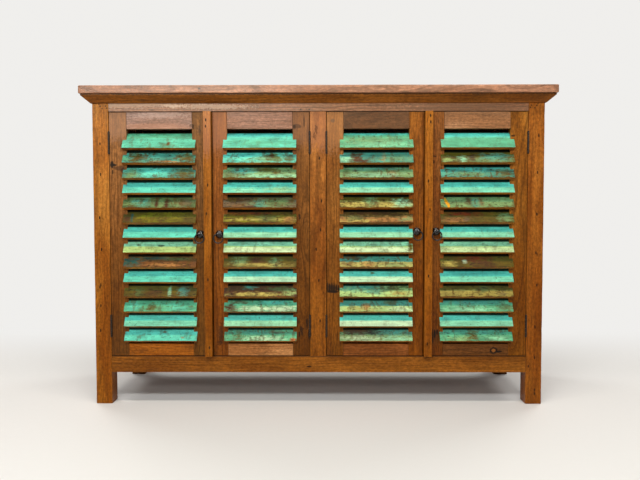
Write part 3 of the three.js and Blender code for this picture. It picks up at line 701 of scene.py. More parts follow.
# Doors. Each has two stiles and two short rails, mortised together. Both stiles carry a row of slanting slots,
# cut from the front face, and the slats slide into them; the tones differ from board to board.
# Each door's hinge edge, where its louvres start and end, and its closing edge.
door_edges = {
    1: (-0.665, -0.610, -0.4005, -0.338), 2: (-0.0275, -0.0805, -0.290, -0.3355),
    3: (0.0275, 0.0805, 0.290, 0.3355), 4: (0.665, 0.610, 0.4005, 0.338),
}
door_face = -0.193
door_back = -0.165
door_bottom = 0.1566
door_top = 0.936
door_arris = 0.0009
louvre_bottom = 0.1956
louvre_top = 0.883
slat_count = 14
slat_width = 0.058
slat_thickness = 0.012
slat_slope = math.radians(59.4)
slat_front = -0.2088
slat_housing = 0.0115
slot_room = 0.0003
slot_past = 0.002
top_reveal = 0.011
bottom_reveal = 0.0059
first_slat = louvre_top - top_reveal - slat_width * math.sin(slat_slope)
last_slat = louvre_bottom + bottom_reveal + slat_thickness * math.cos(slat_slope)
slat_heights = [first_slat + (last_slat - first_slat) * i / (slat_count - 1) for i in range(slat_count)]
rise = Vector((math.cos(slat_slope), math.sin(slat_slope)))
inward = Vector((math.sin(slat_slope), -math.cos(slat_slope)))


def slat_section(z, spare=0.0):
    """The four corners of a slat's section in y and z: front lower arris first, then up the painted face."""
    foot = Vector((slat_front, z)) - rise * spare - inward * spare
    head = foot + rise * (slat_width + 2 * spare)
    deep = inward * (slat_thickness + 2 * spare)
    return [foot, head, head + deep, foot + deep]


def slot_cutter(z, x0, x1):
    return block_of([(x, c.x, c.y) for x in (x0, x1) for c in slat_section(z, slot_room)])


def slot_span(louvre_edge, way):
    """From a little past the slats' ends to a little inside the louvred opening."""
    return sorted((louvre_edge - way * (slat_housing + slot_room), louvre_edge + way * slot_past))


board_tones = {
    "door_1_hinge": ((151, 100, 54), (127, 79, 37), (73, 39, 15)),
    "door_1_lock": ((146, 101, 56), (119, 77, 36), (65, 38, 17)),
    "door_2_lock": ((167, 102, 44), (140, 79, 26), (77, 38, 10)),
    "door_2_hinge": ((139, 89, 41), (112, 67, 24), (61, 33, 9)),
    "door_3_hinge": ((157, 102, 45), (131, 78, 28), (73, 39, 9)),
    "door_3_lock": ((157, 95, 33), (131, 72, 19), (71, 34, 7)),
    "door_4_lock": ((154, 95, 44), (125, 70, 26), (68, 34, 10)),
    "door_4_hinge": ((162, 105, 39), (136, 80, 22), (74, 39, 8)),
    "door_1_top": ((156, 122, 109), (132, 96, 79), (80, 52, 39)),
    "door_2_top": ((149, 105, 84), (125, 81, 58), (75, 44, 30)),
    "door_3_top": ((99, 62, 34), (80, 45, 20), (43, 21, 7)),
    "door_4_top": ((173, 124, 86), (144, 96, 59), (83, 50, 30)),
    "door_1_bottom": ((168, 96, 26), (136, 70, 14), (78, 35, 6)),
    "door_2_bottom": ((196, 139, 86), (167, 109, 60), (109, 64, 34)),
    "door_3_bottom": ((156, 92, 44), (126, 70, 28), (72, 38, 14)),
    "door_4_bottom": ((122, 74, 34), (96, 56, 22), (54, 30, 12)),
}
stain_black = (20, 14, 12)
# Scorch marks, stains, a knot and worn lacquer, each on its own board. The broad pale marks at the tops of the stiles
# and the pale mark high on the first door's top rail are painted sheen: reflections in the lacquer.
board_marks = {
    "door_1_hinge": [(-0.634, 0.759, 0.024, 0.009, (66, 40, 24), 0.75, 0.9),
        (-0.622, 0.752, 0.008, 0.012, (46, 28, 18), 0.8, 0.9), (-0.657, 0.771, 0.006, 0.014, stain_black, 0.95, 0.9),
        (-0.652, 0.769, 0.013, 0.005, stain_black, 0.95, 0.9), (-0.655, 0.747, 0.003, 0.008, stain_black, 0.8),
        (-0.628, 0.845, 0.004, 0.030, (64, 46, 32), 0.5), (-0.6375, 0.93, 0.4, 0.10, (176, 140, 116), 0.3, 0.9),
        (-0.6375, 0.226, 0.4, 0.084, (66, 42, 20), 0.4, 0.6)],
    "door_2_hinge": [(-0.054, 0.93, 0.4, 0.12, (150, 108, 84), 0.3, 0.9),
        (-0.036, 0.262, 0.005, 0.026, stain_black, 0.85), (-0.054, 0.243, 0.010, 0.010, stain_black, 0.75),
        (-0.064, 0.268, 0.006, 0.012, stain_black, 0.6), (-0.066, 0.891, 0.018, 0.008, (52, 40, 34), 0.6, 0.9),
        (-0.0765, 0.889, 0.008, 0.012, stain_black, 0.7), (-0.044, 0.905, 0.003, 0.022, (52, 36, 28), 0.7),
        (-0.0599, 0.227, 0.0034, 0.012, stain_black, 0.9, 0.6),
        (-0.0522, 0.2286, 0.0034, 0.010, stain_black, 0.9, 0.6),
        (-0.0300, 0.2253, 0.0034, 0.020, stain_black, 0.9, 0.6), (-0.0587, 0.604, 0.0045, 0.012, stain_black, 0.85)],
    "door_2_lock": [(-0.313, 0.93, 0.4, 0.14, (168, 118, 90), 0.4, 0.9),
        (-0.313, 0.227, 0.012, 0.040, (48, 30, 18), 0.7), (-0.318, 0.200, 0.010, 0.012, stain_black, 0.6)],
    "door_3_hinge": [(0.047, 0.377, 0.026, 0.018, (70, 42, 18), 0.45, 0.6),
        (0.047, 0.3640, 0.024, 0.0055, stain_black, 0.95, 0.6)] + [
        (0.030 + 0.007 * i, 0.378 - 0.0008 * i, 0.0040, 0.020 - 0.0014 * i, stain_black, 0.95, 0.6)
        for i in range(6)] + [
        (0.047, 0.93, 0.4, 0.14, (186, 134, 92), 0.35, 0.9), (0.047, 0.909, 0.008, 0.008, (96, 80, 66), 0.6),
        (0.0775, 0.650, 0.0034, 0.010, stain_black, 0.9)],
    "door_4_lock": [(0.3695, 0.796, 0.012, 0.004, stain_black, 0.85), (0.367, 0.778, 0.004, 0.007, stain_black, 0.85),
        (0.376, 0.216, 0.018, 0.030, (70, 42, 18), 0.45, 0.6), (0.366, 0.216, 0.0046, 0.030, stain_black, 0.95, 0.6),
        (0.374, 0.227, 0.0042, 0.018, stain_black, 0.95, 0.6), (0.382, 0.233, 0.0042, 0.012, stain_black, 0.9, 0.6),
        (0.390, 0.226, 0.0036, 0.015, stain_black, 0.85, 0.6)],
    "door_1_lock": [(-0.398, 0.892, 0.006, 0.010, stain_black, 0.8),
        (-0.378, 0.880, 0.007, 0.020, (58, 46, 40), 0.55)],
    "door_3_lock": [(0.392, 0.862, 0.006, 0.010, (60, 40, 26), 0.5)],
    "door_4_hinge": [(0.618, 0.860, 0.008, 0.004, stain_black, 0.8)],
    "door_1_top": [(-0.4055, 0.893, 0.006, 0.009, stain_black, 0.8),
        (-0.52, 0.886, 0.16, 0.018, (186, 128, 98), 0.4, 0.9), (-0.50, 0.927, 0.11, 0.012, (196, 168, 154), 0.35)],
    "door_4_bottom": [(0.5640, 0.1735, 0.0155, 0.0135, stain_black, 1.0, 0.6),
        (0.5800, 0.1705, 0.0125, 0.0045, stain_black, 0.95, 0.6),
        (0.5635, 0.1740, 0.0080, 0.0070, (140, 84, 36), 1.0, 0.6)],
}
door_looks = {
    "hinge": {"dirt": 0.45, "rub": 0.3, "grime": 0.3, "deepen": 0.9},
    "lock": {"dirt": 0.45, "rub": 0.3, "grime": 0.3, "deepen": 0.9},
    "top": {"figure": 0.4, "dirt": 0.4, "grime": 0.55, "gloss": 0.36, "coat": 0.22, "relief": 0.7},
    "bottom": {"figure": 0.4, "dirt": 0.4, "grime": 0.55, "relief": 0.6},
}
# A dark line along each door's lower edge, painted shade of the gap above the bottom rail.
foot_seam_shade = (0, door_bottom, full_width, 0.0024, (40, 16, 10), 0.8)


def door_board(number, place, name, low, high, grain, seed):
    """A stile or a rail of a door. Its marks go right through, as they show on the slots' walls too."""
    key = f"door_{number}_{place}"
    return board(f"{key}_{name}", Vector((low[0], door_face, low[1])), Vector((high[0], door_back, high[1])), grain,
                 door_arris, board_tones[key], (seed, seed), 0.008, 8.0, marks=board_marks.get(key, []) + [foot_seam_shade],
                 depth=0.02, **door_looks[place])


for number, (edge, louvre_start, louvre_end, closing) in door_edges.items():
    body = f"door_{number}"
    way = 1 if louvre_start > edge else -1
    for place, span, slots, seed, node in (
            ("hinge", (edge, louvre_start), slot_span(louvre_start, way), 150, "hinge_stile_and_slats"),
            ("lock", (louvre_end, closing), slot_span(louvre_end, -way), 151, "lock_stile")):
        piece = door_board(number, place, "stile", (min(span), door_bottom), (max(span), door_top), 2,
                           seed + 10 * number)
        cut_away(piece, [slot_cutter(z, *slots) for z in slat_heights])
        if place == "hinge":
            hinge_rooms(piece, edge - way * hinge_gap, way)
        fit(piece, body, "door_wood", f"{body}_{node}")
    x0, x1 = sorted((louvre_start, louvre_end))
    for place, z0, z1, seed in (("top", louvre_top, door_top, 156), ("bottom", door_bottom, louvre_bottom, 155)):
        piece = door_board(number, place, "rail_board", (x0 + slot_room, z0), (x1 - slot_room, z1), 0,
                           seed + 10 * number)
        fit(piece, body, "door_wood", f"{body}_{place}_rail")

# Slats. Each is a flat batten sawn from an old painted shutter. Its face keeps the layers of worn house paint,
# its lower edge was sawn fresh and shows bare brown wood, and its two ends sit in the stiles' slanting slots.
coats = {coat: srgb(*tint) for coat, tint in {
    "mint": (90, 168, 122), "pale_mint": (144, 206, 160), "turquoise": (94, 200, 172), "sky": (72, 166, 148),
    "teal": (72, 144, 120), "deep_teal": (36, 82, 70), "sage": (112, 142, 88), "moss": (84, 100, 52),
    "olive": (88, 74, 14), "lime": (166, 196, 118), "straw": (180, 164, 80), "tan": (158, 108, 54),
    "brown": (76, 44, 16), "bare": (106, 64, 24), "rust": (112, 44, 12), "fern": (122, 116, 12),
    "orange": (200, 100, 26), "marigold": (224, 150, 14), "cream": (196, 222, 176), "grey_brown": (98, 80, 54),
    "ink": (24, 22, 16),
}.items()}
bare_tones = ((176, 114, 40), (144, 84, 26), (80, 40, 10))


def paint_recipe():
    """Old house paint: a top coat worn through to the coat below, and in places to the wood, with fine cracks, and
    the painted shadow of the slat above.
    """
    tree, given = start_recipe("old_paint", {
        "Place": "Vector", "Up": "Float", "Top coat": "Color", "Under coat": "Color", "Wood": "Color", "Wear": "Float",
        "Shaded from": "Float", "Deep shade from": "Float"})

    def layer(factors, detail, rough=0.6):
        return stretched(tree, given["Place"], factors, detail, rough)[0]
    cloudy = layer((22, 60, 60), 3.0, 0.5)
    worn = layer((34, 230, 230), 6.0, 0.66)
    flaked = layer((60, 260, 260), 5.0, 0.7)
    brushed = layer((12, 520, 520), 4.0, 0.62)
    cracked = layer((13, 430, 430), 3.0)
    speck = layer((330, 330, 330), 2.0)
    dribble = layer((70, 70, 9), 4.0)
    craze = layer((64, 230, 230), 4.0)
    fleck = layer((170, 260, 260), 3.0)
    swing = weigh(tree, (given["Wear"], 2.6), start=0.7)
    clouded = weigh(tree, (reckon(tree, "SUBTRACT", cloudy, 0.5), swing), start=0.98)
    top = scaled(tree, given["Top coat"], clouded)
    top = scaled(tree, top, ease(tree, brushed, 0.3, 0.7, 0.84, 1.12))
    lower_arris = ease(tree, given["Up"], 0.0045, 0.0, 0, 0.14)
    level = weigh(tree, (given["Wear"], -0.50), start=0.84)
    through = ease(tree, weigh(tree, (worn, 1), (level, -1), start=lower_arris), 0.0, 0.03)
    colour = blend(tree, through, top, given["Under coat"])
    gone = ease(tree, weigh(tree, (flaked, 1), (level, -1), start=lower_arris), 0.05, 0.07)
    colour = blend(tree, gone, colour, given["Wood"])
    crack = ease(tree, cracked, 0.66, 0.71, 0, 0.6)
    colour = blend(tree, crack, colour, given["Wood"])
    colour = blend(tree, ease(tree, speck, 0.70, 0.74, 0, 0.8), colour, given["Wood"])
    heavy = reckon(tree, "MINIMUM", reckon(tree, "MULTIPLY", given["Wear"], 1.7), 0.8)
    colour = blend(tree, ease(tree, dribble, 0.52, 0.64), colour, srgb(88, 62, 14), heavy)
    colour = blend(tree, ease(tree, craze, 0.58, 0.62), colour, srgb(38, 26, 12), heavy)
    colour = blend(tree, ease(tree, fleck, 0.64, 0.67, 0, 0.7), colour, srgb(44, 34, 18))
    # Painted shadow: above the line where the slat above casts its shadow, the paint is painted darker and bluer.
    in_slat_shadow = reckon_each(tree, "MULTIPLY", colour, (0.68, 0.91, 1.06))
    above_line = reckon(tree, "SUBTRACT", given["Up"], given["Shaded from"])
    colour = blend(tree, ease(tree, above_line, -0.0012, 0.0012), colour, in_slat_shadow)
    # Painted deep shadow: where the slat above all but covers the face, the paint is painted near-black.
    above_deep_shade = reckon(tree, "SUBTRACT", given["Up"], given["Deep shade from"])
    colour = blend(tree, ease(tree, above_deep_shade, -0.0014, 0.0014, 0, 0.94), colour, srgb(13, 18, 11))
    sheen = weigh(tree, (gone, 0.15), start=ease(tree, brushed, 0.3, 0.7, 0.36, 0.5))
    relief = weigh(tree, (brushed, 0.35), (through, -0.3), (gone, -0.7), (crack, -0.4))
    return end_recipe(tree, colour, sheen, relief)


old_paint = paint_recipe()


def painted(name, x0, x1, z, top, under, wear, patches, seed, shaded_from, deep_shade_from):
    """The paint on one slat. A patch is (coat, share along, share up, half length, half height, strength) in
    hundredths and, where its edge is clean, how ragged it is. Above the line where the slat above casts its shadow
    the paint is painted darker and bluer, as painted shadow, and where that slat all but covers it, near-black, as
    painted deep shadow."""
    finish, tree, place = new_finish(name)
    luck = random.Random(seed)
    own = reckon_each(tree, "ADD", place, [luck.uniform(-30, 30) for _ in range(3)])
    ragged = stretched(tree, own, (52, 150, 150), 5.0, 0.66)[0]
    colour = coats[top]
    for coat, *hundredths in patches:
        along, share_up, half_along, half_up, strength, *edge_rag = (number / 100 for number in hundredths)
        # Full-width patches with a clean edge, low on the face, are painted light.
        spread, soft, rag = (1.0, 0.3, edge_rag[0]) if edge_rag else (1.3, 0.9, 2.3)
        centre = (x0 + (x1 - x0) * along, slat_front, z + deep_shade_from * share_up)
        reach = ((x1 - x0) * half_along * spread, 1.0, deep_shade_from * half_up * spread)
        mask = blot(tree, place, ragged, centre, reach, soft, rag)
        colour = blend(tree, mask, colour, coats[coat], min(1.0, 1.25 * strength))
    up_face = reckon(tree, "SUBTRACT", add_node(tree, "SeparateXYZ", {0: place}).outputs[2], z)
    layers = add_node(tree, "Group", {
        "Place": own, "Up": up_face, "Top coat": colour, "Under coat": coats[under], "Wood": srgb(74, 50, 30),
        "Wear": wear, "Shaded from": shaded_from, "Deep shade from": deep_shade_from}, node_tree=old_paint).outputs
    shade(tree, layers["Relief"], 0.5, 0.0006, {
        "Base Color": layers["Colour"], "Roughness": layers["Sheen"], "Specular IOR Level": 0.1, "Coat Weight": 0.03,
        "Coat Roughness": 0.3})
    return finish


# For each door, its slats from the top one down: top coat, coat below it, wear and patches. The full-width patches
# with a clean edge low on a slat are painted light: the pale, lit lower part of its face below the painted shadow.
slat_paint = {
    1: [
        ("mint", "sage", 0.2, [("turquoise", 50, 20, 150, 62, 45, 60), ("rust", 63, 30, 3, 14, 90),
            ("olive", 60, 20, 12, 20, 50), ("olive", 62, 50, 3, 30, 40)]),
        ("teal", "brown", 0.45, [("mint", 3, 45, 7, 30, 90), ("olive", 20, 50, 12, 60, 80),
            ("tan", 62, 12, 22, 12, 80), ("olive", 88, 50, 16, 60, 80)]),
        ("teal", "olive", 0.35, [("turquoise", 45, 50, 28, 80, 80), ("olive", 85, 40, 20, 60, 75),
            ("sage", 12, 30, 10, 60, 70)]),
        ("turquoise", "mint", 0.12, [("teal", 80, 80, 20, 20, 50)]),
        ("moss", "brown", 0.4, [("sage", 50, 30, 70, 50, 50), ("brown", 46, 50, 3, 90, 80),
            ("brown", 60, 50, 3.5, 90, 80), ("grey_brown", 85, 50, 13, 50, 70), ("teal", 25, 50, 14, 50, 60)]),
        ("olive", "brown", 0.3, [("fern", 35, 50, 18, 70, 60), ("fern", 68, 50, 16, 70, 50),
            ("deep_teal", 12, 50, 2, 60, 90), ("brown", 5, 30, 6, 60, 70)]),
        ("turquoise", "mint", 0.1, []),
        ("lime", "mint", 0.2, [("pale_mint", 50, 90, 150, 40, 70, 60), ("ink", 52, 62, 6, 10, 90),
            ("ink", 20, 70, 3, 8, 80), ("sage", 85, 30, 20, 40, 30)]),
        ("bare", "brown", 0.45, [("deep_teal", 10, 50, 16, 60, 90), ("tan", 55, 20, 30, 25, 80),
            ("deep_teal", 42, 85, 25, 20, 70), ("moss", 75, 80, 20, 20, 60)]),
        ("turquoise", "pale_mint", 0.12, []),
        ("olive", "brown", 0.45, [("pale_mint", 63, 45, 3, 60, 50), ("sky", 82, 50, 9, 60, 45),
            ("moss", 20, 40, 10, 50, 60), ("brown", 40, 40, 14, 50, 60)]),
        ("mint", "teal", 0.3, [("olive", 38, 30, 8, 50, 70), ("turquoise", 10, 40, 12, 50, 50),
            ("turquoise", 75, 30, 20, 40, 40)]),
        ("turquoise", "mint", 0.1, [("pale_mint", 60, 20, 150, 35, 35, 50)]),
        ("turquoise", "teal", 0.26, [("grey_brown", 55, 80, 4, 10, 80), ("tan", 80, 30, 3, 10, 60)]),
    ],
    2: [
        ("turquoise", "pale_mint", 0.14, [("mint", 50, 30, 70, 40, 50), ("sky", 50, 95, 60, 15, 60)]),
        ("turquoise", "olive", 0.35, [("sage", 62, 35, 35, 50, 60), ("moss", 70, 60, 12, 60, 80),
            ("olive", 90, 40, 10, 50, 60), ("brown", 66, 70, 4, 40, 70), ("sky", 30, 80, 20, 20, 60)]),
        ("sage", "olive", 0.4, [("sky", 28, 70, 20, 40, 70), ("olive", 72, 50, 5, 70, 80),
            ("olive", 62, 80, 20, 30, 70), ("pale_mint", 60, 10, 60, 30, 60), ("olive", 10, 20, 10, 30, 50)]),
        ("turquoise", "pale_mint", 0.15, [("lime", 80, 30, 25, 40, 40), ("pale_mint", 30, 20, 30, 30, 60)]),
        ("grey_brown", "brown", 0.5, [("sage", 65, 40, 35, 60, 60), ("teal", 50, 30, 10, 50, 60),
            ("moss", 75, 50, 20, 40, 60), ("brown", 20, 80, 25, 30, 80), ("tan", 20, 20, 12, 20, 40)]),
        ("olive", "brown", 0.45, [("fern", 50, 30, 90, 40, 70), ("straw", 55, 30, 60, 12, 70),
            ("moss", 60, 40, 20, 40, 60), ("tan", 90, 30, 10, 40, 60), ("rust", 30, 90, 50, 25, 70)]),
        ("turquoise", "pale_mint", 0.14, [("pale_mint", 60, 20, 150, 35, 70, 50)]),
        ("lime", "straw", 0.2, [("cream", 40, 20, 120, 34, 60, 60), ("pale_mint", 50, 95, 150, 42, 80, 60)]),
        ("olive", "brown", 0.4, [("sage", 22, 50, 12, 60, 70), ("sage", 70, 40, 10, 50, 80),
            ("brown", 45, 60, 10, 50, 80), ("straw", 50, 20, 40, 20, 60)]),
        ("turquoise", "pale_mint", 0.12, [("cream", 50, 20, 150, 36, 50, 50), ("sky", 50, 90, 60, 20, 50)]),
        ("brown", "bare", 0.4, [("straw", 45, 20, 40, 25, 85), ("teal", 35, 85, 10, 20, 80),
            ("lime", 90, 40, 10, 40, 60), ("moss", 75, 70, 15, 30, 60)]),
        ("mint", "sage", 0.35, [("brown", 8, 30, 10, 50, 80), ("cream", 80, 20, 30, 40, 70),
            ("cream", 40, 20, 25, 35, 60), ("brown", 20, 85, 15, 20, 60), ("sky", 70, 85, 25, 25, 60)]),
        ("turquoise", "pale_mint", 0.12, [("pale_mint", 50, 20, 150, 35, 75, 50)]),
        ("mint", "olive", 0.35, [("orange", 95, 10, 6, 16, 90), ("cream", 55, 20, 30, 30, 50),
            ("teal", 40, 80, 40, 30, 60), ("olive", 20, 50, 6, 70, 60), ("grey_brown", 75, 80, 20, 20, 50)]),
    ],
    3: [
        ("mint", "sage", 0.25, [("pale_mint", 50, 25, 60, 35, 40), ("sage", 40, 50, 50, 30, 50),
            ("turquoise", 50, 97, 60, 12, 80)]),
        ("teal", "sage", 0.28, [("brown", 23, 50, 13, 80, 100), ("brown", 30, 15, 16, 25, 80),
            ("pale_mint", 6, 30, 10, 50, 80), ("sage", 75, 40, 30, 50, 50), ("tan", 60, 50, 4, 60, 40)]),
        ("sage", "grey_brown", 0.4, [("moss", 10, 60, 8, 50, 80), ("tan", 72, 50, 8, 50, 50),
            ("pale_mint", 50, 25, 40, 30, 50), ("teal", 50, 90, 50, 25, 60)]),
        ("turquoise", "pale_mint", 0.14, [("pale_mint", 40, 20, 150, 35, 60, 50)]),
        ("olive", "brown", 0.42, [("straw", 50, 25, 90, 45, 70), ("sage", 42, 50, 12, 60, 80),
            ("pale_mint", 85, 40, 14, 50, 70), ("straw", 20, 30, 20, 30, 70), ("straw", 60, 30, 10, 40, 60)]),
        ("tan", "brown", 0.42, [("olive", 50, 95, 90, 55, 80), ("straw", 25, 20, 25, 30, 70),
            ("moss", 20, 50, 15, 40, 60), ("sage", 90, 30, 12, 30, 60), ("brown", 40, 90, 60, 35, 80)]),
        ("turquoise", "pale_mint", 0.12, [("pale_mint", 50, 20, 150, 35, 70, 50)]),
        ("lime", "sage", 0.22, [("cream", 40, 20, 150, 34, 60, 60), ("pale_mint", 50, 95, 150, 42, 70, 60),
            ("olive", 97, 40, 4, 60, 80)]),
        ("teal", "olive", 0.42, [("straw", 50, 15, 150, 42, 70, 80), ("bare", 12, 30, 10, 30, 60),
            ("brown", 15, 90, 25, 40, 70), ("tan", 40, 25, 10, 30, 60), ("sage", 75, 20, 25, 30, 50)]),
        ("turquoise", "pale_mint", 0.12, [("cream", 50, 20, 150, 36, 62, 50), ("moss", 45, 85, 3, 10, 90)]),
        ("lime", "olive", 0.33, [("teal", 30, 95, 60, 55, 90), ("moss", 80, 85, 30, 35, 80),
            ("straw", 80, 30, 16, 30, 70), ("sky", 50, 40, 10, 30, 40)]),
        ("teal", "sage", 0.33, [("lime", 50, 15, 150, 42, 70, 60), ("straw", 30, 20, 30, 30, 50),
            ("tan", 36, 45, 7, 35, 70), ("cream", 85, 20, 18, 30, 50), ("olive", 70, 80, 10, 40, 60)]),
        ("turquoise", "pale_mint", 0.12, [("cream", 50, 20, 150, 36, 70, 50)]),
        ("sage", "grey_brown", 0.3, [("teal", 80, 95, 60, 55, 80), ("brown", 25, 95, 35, 60, 85),
            ("cream", 30, 20, 30, 30, 40), ("pale_mint", 80, 20, 25, 30, 60), ("ink", 45, 80, 10, 30, 60)]),
    ],
    4: [
        ("turquoise", "mint", 0.1, [("mint", 50, 30, 150, 48, 65, 60)]),
        ("olive", "brown", 0.38, [("sage", 60, 20, 70, 40, 60), ("pale_mint", 30, 35, 9, 35, 70),
            ("teal", 75, 50, 25, 50, 60), ("lime", 10, 20, 8, 40, 50), ("brown", 42, 50, 6, 50, 70)]),
        ("teal", "olive", 0.45, [("sky", 50, 90, 60, 25, 70), ("olive", 88, 40, 14, 50, 70),
            ("sage", 40, 30, 30, 30, 60)]),
        ("turquoise", "mint", 0.1, [("pale_mint", 50, 20, 150, 34, 30, 50)]),
        ("sage", "brown", 0.38, [("marigold", 6.6, 72, 1.8, 30, 80, 60), ("marigold", 8.4, 48, 2, 30, 80, 60),
            ("marigold", 10.4, 22, 2.2, 30, 80, 60), ("brown", 38, 60, 6, 60, 70), ("rust", 55, 60, 5, 60, 50),
            ("teal", 48, 40, 6, 60, 60), ("sage", 80, 30, 16, 40, 60)]),
        ("olive", "brown", 0.38, [("tan", 20, 25, 20, 35, 70), ("grey_brown", 36, 30, 6, 30, 70),
            ("sage", 88, 40, 12, 50, 80), ("rust", 30, 85, 35, 30, 80)]),
        ("turquoise", "mint", 0.12, [("pale_mint", 50, 20, 150, 35, 45, 50)]),
        ("lime", "sage", 0.2, [("cream", 50, 20, 150, 34, 40, 60), ("pale_mint", 50, 95, 150, 45, 70, 60)]),
        ("olive", "brown", 0.38, [("rust", 45, 80, 30, 35, 90), ("straw", 13, 30, 10, 40, 60),
            ("cream", 33, 50, 4, 22, 50), ("brown", 60, 30, 25, 40, 70)]),
        ("turquoise", "mint", 0.08, [("sky", 50, 90, 60, 30, 60), ("pale_mint", 50, 20, 150, 34, 30, 50)]),
        ("olive", "brown", 0.42, [("straw", 50, 20, 150, 50, 45, 80), ("moss", 60, 70, 10, 40, 60),
            ("straw", 25, 40, 20, 30, 40), ("grey_brown", 85, 30, 8, 30, 50)]),
        ("mint", "sage", 0.28, [("teal", 50, 90, 60, 40, 85), ("pale_mint", 40, 20, 40, 40, 60),
            ("olive", 90, 40, 12, 50, 50)]),
        ("turquoise", "pale_mint", 0.12, [("pale_mint", 50, 20, 150, 35, 50, 50)]),
        ("mint", "olive", 0.33, [("teal", 50, 90, 60, 30, 70), ("lime", 30, 20, 20, 30, 40),
            ("olive", 45, 60, 8, 60, 80), ("pale_mint", 80, 25, 20, 30, 50)]),
    ],
}
slat_arris = 0.0007
slat_back = -0.169
slat_drop, slat_climb = 0.0062, 0.05
first_shadow, later_shadow = (0.0365, 0.0475), (0.0176, 0.0325)
for number, (edge, louvre_start, louvre_end, closing) in door_edges.items():
    x0, x1 = sorted((louvre_start, louvre_end))
    x0, x1 = x0 - slat_housing, x1 + slat_housing
    for i, (top, under, wear, patches) in enumerate(slat_paint[number]):
        z = slat_heights[i]
        seed = 200 + 20 * number + i
        name = f"door_{number}_slat_{i + 1}"
        face_paint = painted(name + "_paint", x0, x1, z, top, under, wear, patches, seed,
                             *(later_shadow if i else first_shadow))
        bare = lacquered(name + "_wood", (x0, slat_front, z - slat_drop), (x1, slat_back, z + slat_climb), 0,
                         bare_tones, seed, figure=0.4, dirt=0.35, rub=0.0, grime=0.2)
        piece = timber(name, slat_section(z), x0, x1, 0, slat_arris, seed, [face_paint, bare], (0, 1, 1, 1), 0.006,
                       14.0)
        fit(piece, f"door_{number}", "painted_slats")

# Cover strips. A square honey-coloured batten is nailed down the closing edge of each outer door and laps the
# joint between the pair.
strip_tones = ((181, 115, 40), (153, 88, 20), (86, 44, 7))
strip_nails = [(0.003, 0.905), (0.004, 0.885), (-0.002, 0.70), (0.003, 0.61), (0.0, 0.40), (-0.003, 0.183)]
strip_arris = 0.0015
for number, sign in ((1, -1), (4, 1)):
    node = f"door_{number}_cover_strip"
    low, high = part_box(node)
    marks = nail_marks((low.x + high.x) / 2, [(sign * x, z + 0.004 * number) for x, z in strip_nails])
    # On the first strip, a broad pale mark at the top is painted sheen, a reflection in the lacquer.
    if number == 1:
        marks.insert(0, (low.x, 0.93, 0.3, 0.16, (172, 116, 86), 0.45, 0.9))
    piece = board(f"door_{number}_strip", low, high, 2, strip_arris, strip_tones, (300 + number, 310 + number), 0.008,
                  9.0, figure=0.4, marks=marks, rub=0.4, grime=0.3, deepen=0.8)
    fit(piece, f"door_{number}", honey_slot, node)

# Hinges. Plain butt hinges of black iron, 70 mm long. The leaves lie in their beds in the wood, and the barrel,
# with a small button at each end of its pin, stands in the joint and shows from the front as a dark line.
hinge_half = 0.035
knuckle_long = 0.014
barrel_radius = 0.003
leaf_thick = 0.0018
leaf_deep = 0.0235
leaf_corner = 0.003
leaf_root = 0.0036
leaf_play = 0.0002
screw_line = 0.0145
screw_step = 0.024


def iron_recipe(name, tint, rough, rubbed, gloss, hammer, shine):
    """Blackened iron: near-black with grey rubs on the high spots and a fine hammered unevenness, under wax."""
    finish, tree, place = new_finish(name)
    hammered = uneven(tree, place, 420.0, 3.0)[0]
    fine = uneven(tree, place, 2600.0, 2.0)[0]
    rust = uneven(tree, place, 160.0, 5.0, 0.7)[0]
    colour = blend(tree, ease(tree, hammered, 0.4, 0.75), srgb(*tint), srgb(*rubbed))
    colour = blend(tree, ease(tree, rust, 0.6, 0.74, 0, 0.6), colour, srgb(74, 44, 28))
    shade(tree, weigh(tree, (fine, 0.3), start=hammered), hammer, 0.0005, {
        "Base Color": colour, "Metallic": 0.3, "Coat Weight": gloss, "Coat Roughness": 0.06,
        "Specular IOR Level": shine, "Roughness": ease(tree, fine, 0.3, 0.7, rough - 0.06, rough + 0.08)})
    return finish


hinge_iron = iron_recipe("hinge_iron", (26, 19, 14), 0.5, (70, 54, 38), 0.04, 0.35, 0.3)
pull_iron = iron_recipe("pull_iron", (10, 9, 10), 0.34, (22, 20, 22), 1.0, 0.08, 0.15)
ring_iron = iron_recipe("ring_iron", (8, 7, 8), 0.36, (24, 20, 20), 0.5, 0.2, 0.2)


def turned_part(mesh, profile, place, axis, sides=24):
    """Adds a turned shape: the profile is (radius, distance along the axis) from one pole or rim to the other."""
    spin = Vector((0, 0, 1)).rotation_difference(Vector(axis)).to_matrix()
    rings = []
    for radius, along in profile:
        turns = [2 * math.pi * i / sides for i in range(sides if radius else 1)]
        rings.append([mesh.verts.new(Vector(place) + spin @ Vector((radius * math.cos(turn), radius * math.sin(turn),
                                                                    along))) for turn in turns])
    for near, far in zip(rings, rings[1:]):
        if len(near) == len(far):
            bridge(mesh, near, far)
            continue
        for i in range(sides):
            j = (i + 1) % sides
            corners = (near[0], far[j], far[i]) if len(near) == 1 else (near[i], near[j], far[0])
            mesh.faces.new(corners).smooth = True


def leaf_plate(mesh, x0, x1, y0, y1, z0, z1, round_by):
    """A flat leaf with its two far corners rounded."""
    outline = [(y0, z0), (y1 - round_by, z0)]
    outline += [(y1 - round_by + round_by * math.sin(t), z0 + round_by - round_by * math.cos(t))
                for t in (math.pi / 8, math.pi / 4, 3 * math.pi / 8, math.pi / 2)]
    outline += [(y1 - round_by + round_by * math.cos(t), z1 - round_by + round_by * math.sin(t))
                for t in (0, math.pi / 8, math.pi / 4, 3 * math.pi / 8, math.pi / 2)]
    outline += [(y0, z1)]
    near, far = ([mesh.verts.new((x, y, z)) for y, z in outline] for x in (x0, x1))
    mesh.faces.new(list(reversed(near)))
    mesh.faces.new(far)
    bridge(mesh, near, far, smooth=False)


